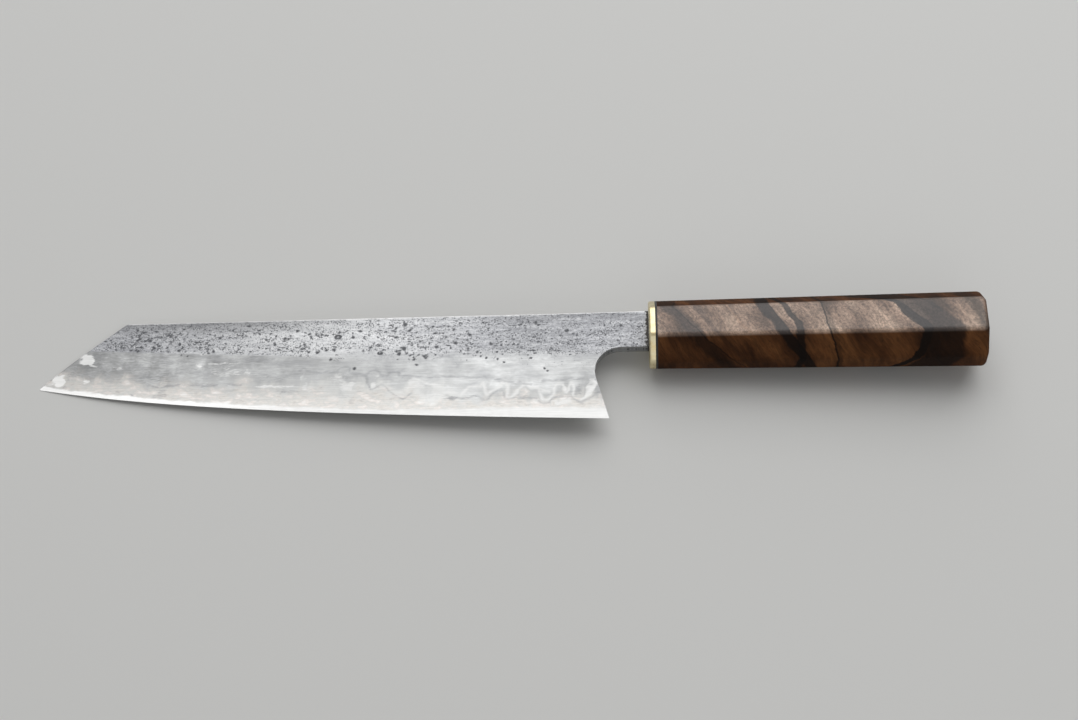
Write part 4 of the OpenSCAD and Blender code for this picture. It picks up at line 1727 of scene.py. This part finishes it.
@dataclass(frozen=True)
class Studio:
    """A pale floor, soft light and the camera at the photograph's viewing angle."""

    camera_at: tuple[float, float, float] = (0.01182, -0.3763, 0.6397)
    elevation_deg: float = 59.16
    yaw_deg: float = 0.23
    lens_mm: float = 66.8
    sensor_mm: float = 36.0
    floor_half: float = 6.0
    floor_cells: int = 8
    sky: float = 0.3
    seen_sky: float = 0.54
    lamps: tuple[Lamp, ...] = (
        Lamp("softbox_above", (0.3, 0.84, 1.38), 2.1, 1.9, 19.6),
        Lamp("softbox_low", (-0.2, 1.7, 0.45), 2.2, 0.6, 2.5),
        Lamp("card_in_front", (0.1, -1.3, 0.76), 1.2, 0.5, 1.1),
    )

    def floor(self) -> None:
        """Lays the floor just under the knife."""
        bm = bmesh.new()
        bmesh.ops.create_grid(bm, x_segments=self.floor_cells, y_segments=self.floor_cells,
                              size=self.floor_half)
        mesh = bpy.data.meshes.new("floor")
        bm.to_mesh(mesh)
        bm.free()
        floor = bpy.data.objects.new("floor", mesh)
        bpy.context.scene.collection.objects.link(floor)
        mesh.materials.append(FloorFinish("pale_floor").build())

    def camera(self) -> None:
        """Sets the camera where the photograph was taken from."""
        data = bpy.data.cameras.new("camera")
        data.sensor_width = self.sensor_mm
        data.lens = self.lens_mm
        camera = bpy.data.objects.new("camera", data)
        camera.location = self.camera_at
        camera.rotation_euler = (math.radians(90 - self.elevation_deg), 0.0, math.radians(self.yaw_deg))
        bpy.context.scene.collection.objects.link(camera)
        bpy.context.scene.camera = camera

    def light(self) -> None:
        """Sets the soft lamps round the knife and a sky that gives less light than it shows."""
        for lamp in self.lamps:
            data = bpy.data.lights.new(lamp.name, "AREA")
            data.shape = "RECTANGLE"
            data.size = lamp.wide
            data.size_y = lamp.high
            data.energy = lamp.watts
            made = bpy.data.objects.new(lamp.name, data)
            made.location = lamp.at
            made.rotation_euler = (-Vector(lamp.at)).to_track_quat("-Z", "Y").to_euler()
            bpy.context.scene.collection.objects.link(made)
        world = bpy.data.worlds.new("sky")
        world.use_nodes = True
        tree = Tree(world.node_tree)
        tree.graph.nodes.clear()
        strength = tree.add("Math", tree.seen_directly(), self.seen_sky - self.sky, self.sky)
        tree.add("OutputWorld", tree.add("Background", "#ffffff", strength))
        bpy.context.scene.world = world


def resting_lay() -> Lay:
    """Works out how the knife lies, from its driving sizes and the frame's box.

    Returns:
        The lay that carries u, w and n into the frame.
    """
    flat = Lay(0.0, 0.0, 0.0, 0.0)
    handle, blade = Handle(flat), Blade(flat)
    touch_u = handle.start_u + handle.solid_collar_ease
    edge_half = blade.edge_t / 2
    tilt = math.atan((handle.thickness(touch_u) / 2 - edge_half) / touch_u)
    low, high = CAD_BOX
    return Lay(tilt=tilt, lift=edge_half * math.cos(tilt),
               centre_x=(high[0] - low[0]) / 2 / MM, centre_y=-low[1] / MM - blade.heel_drop)


def build_blade(blade: Blade) -> None:
    """Builds the three layers of the blade.

    Args:
        blade: The blade's sizes.
    """
    left = SideMarks(seed=11, pits=FORGE_PITS, clouds=POLISH_CLOUDS_AND_GLINTS, pale=PALE_RIBBONS,
                     grey=GREY_SEAMS)
    right = SideMarks(
        seed=29, small_pits=560,
        pale=blade.wandering_lines(seed=105, count=7, low=8, high=14),
        grey=blade.wandering_lines(seed=7, count=9, low=6, high=13))
    readers = {Side.LEFT: left.reader(blade), Side.RIGHT: right.reader(blade)}
    steel = ForgedSteel("forged_and_stone_polished_steel").build()

    def far_core(col: float, row: float) -> float:
        """Returns where the core steel's face on the right side is."""
        return -blade.core_half_at(col, row)

    def far_outer(col: float, row: float) -> float:
        """Returns where the blade's face on the right side is."""
        return -blade.outer_half_at(col, row)

    for name, steps, first_row, low, high, outer, slot in (
        ("core_steel", CORE_NET, 0.0, far_core, blade.core_half_at, None, "core_steel"),
        ("cladding_left", FINE_NET, blade.weld_row, blade.core_half_at, blade.outer_half_at,
         Side.LEFT, "cladding_steel"),
        ("cladding_right", FINE_NET, blade.weld_row, far_outer, far_core, Side.RIGHT, "cladding_steel"),
    ):
        BladeLayer(name, blade, steps, first_row, low, high, readers, outer).build(steel, slot)


def build_handle(handle: Handle, blade: Blade) -> None:
    """Builds the collar, the liner and the wood, and dresses the hidden dowel and adhesive.

    Args:
        handle: The handle's sizes.
        blade: The blade whose tang the handle takes.
    """
    handle.collar(blade, PaleBrass("polished_pale_brass").build())
    handle.liner(DarkFiller("pressed_black_liner", deep="#0c0c0c", light="#1c1b1a", rough=0.45,
                            grit_per_m=1800.0).build())
    handle.body(FiguredWood("oiled_figured_wood", handle.lay, handle).build())
    adhesive = DarkFiller("set_dark_adhesive", deep="#15110d", light="#3a3128", rough=0.35,
                          grit_per_m=900.0)
    for node, material in (
        ("handle_dowel", PlainWood("planed_dowel_wood").build()),
        ("tang_adhesive", adhesive.build()),
    ):
        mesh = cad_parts[node].data
        mesh.materials.clear()
        mesh.materials.append(material)
        LOG.info("%s: keeps its shape and gets %s", node, material.name)


def main() -> None:
    """Builds the knife and its studio."""
    logging.basicConfig(level=logging.INFO, format="%(name)s: %(message)s")
    noise.seed_set(NOISE_SEED)
    bpy.context.scene.view_settings.view_transform = "Standard"
    lay = resting_lay()
    blade = Blade(lay)
    build_blade(blade)
    build_handle(Handle(lay), blade)
    studio = Studio()
    studio.floor()
    studio.camera()
    studio.light()


if __name__ == "__main__":
    main()
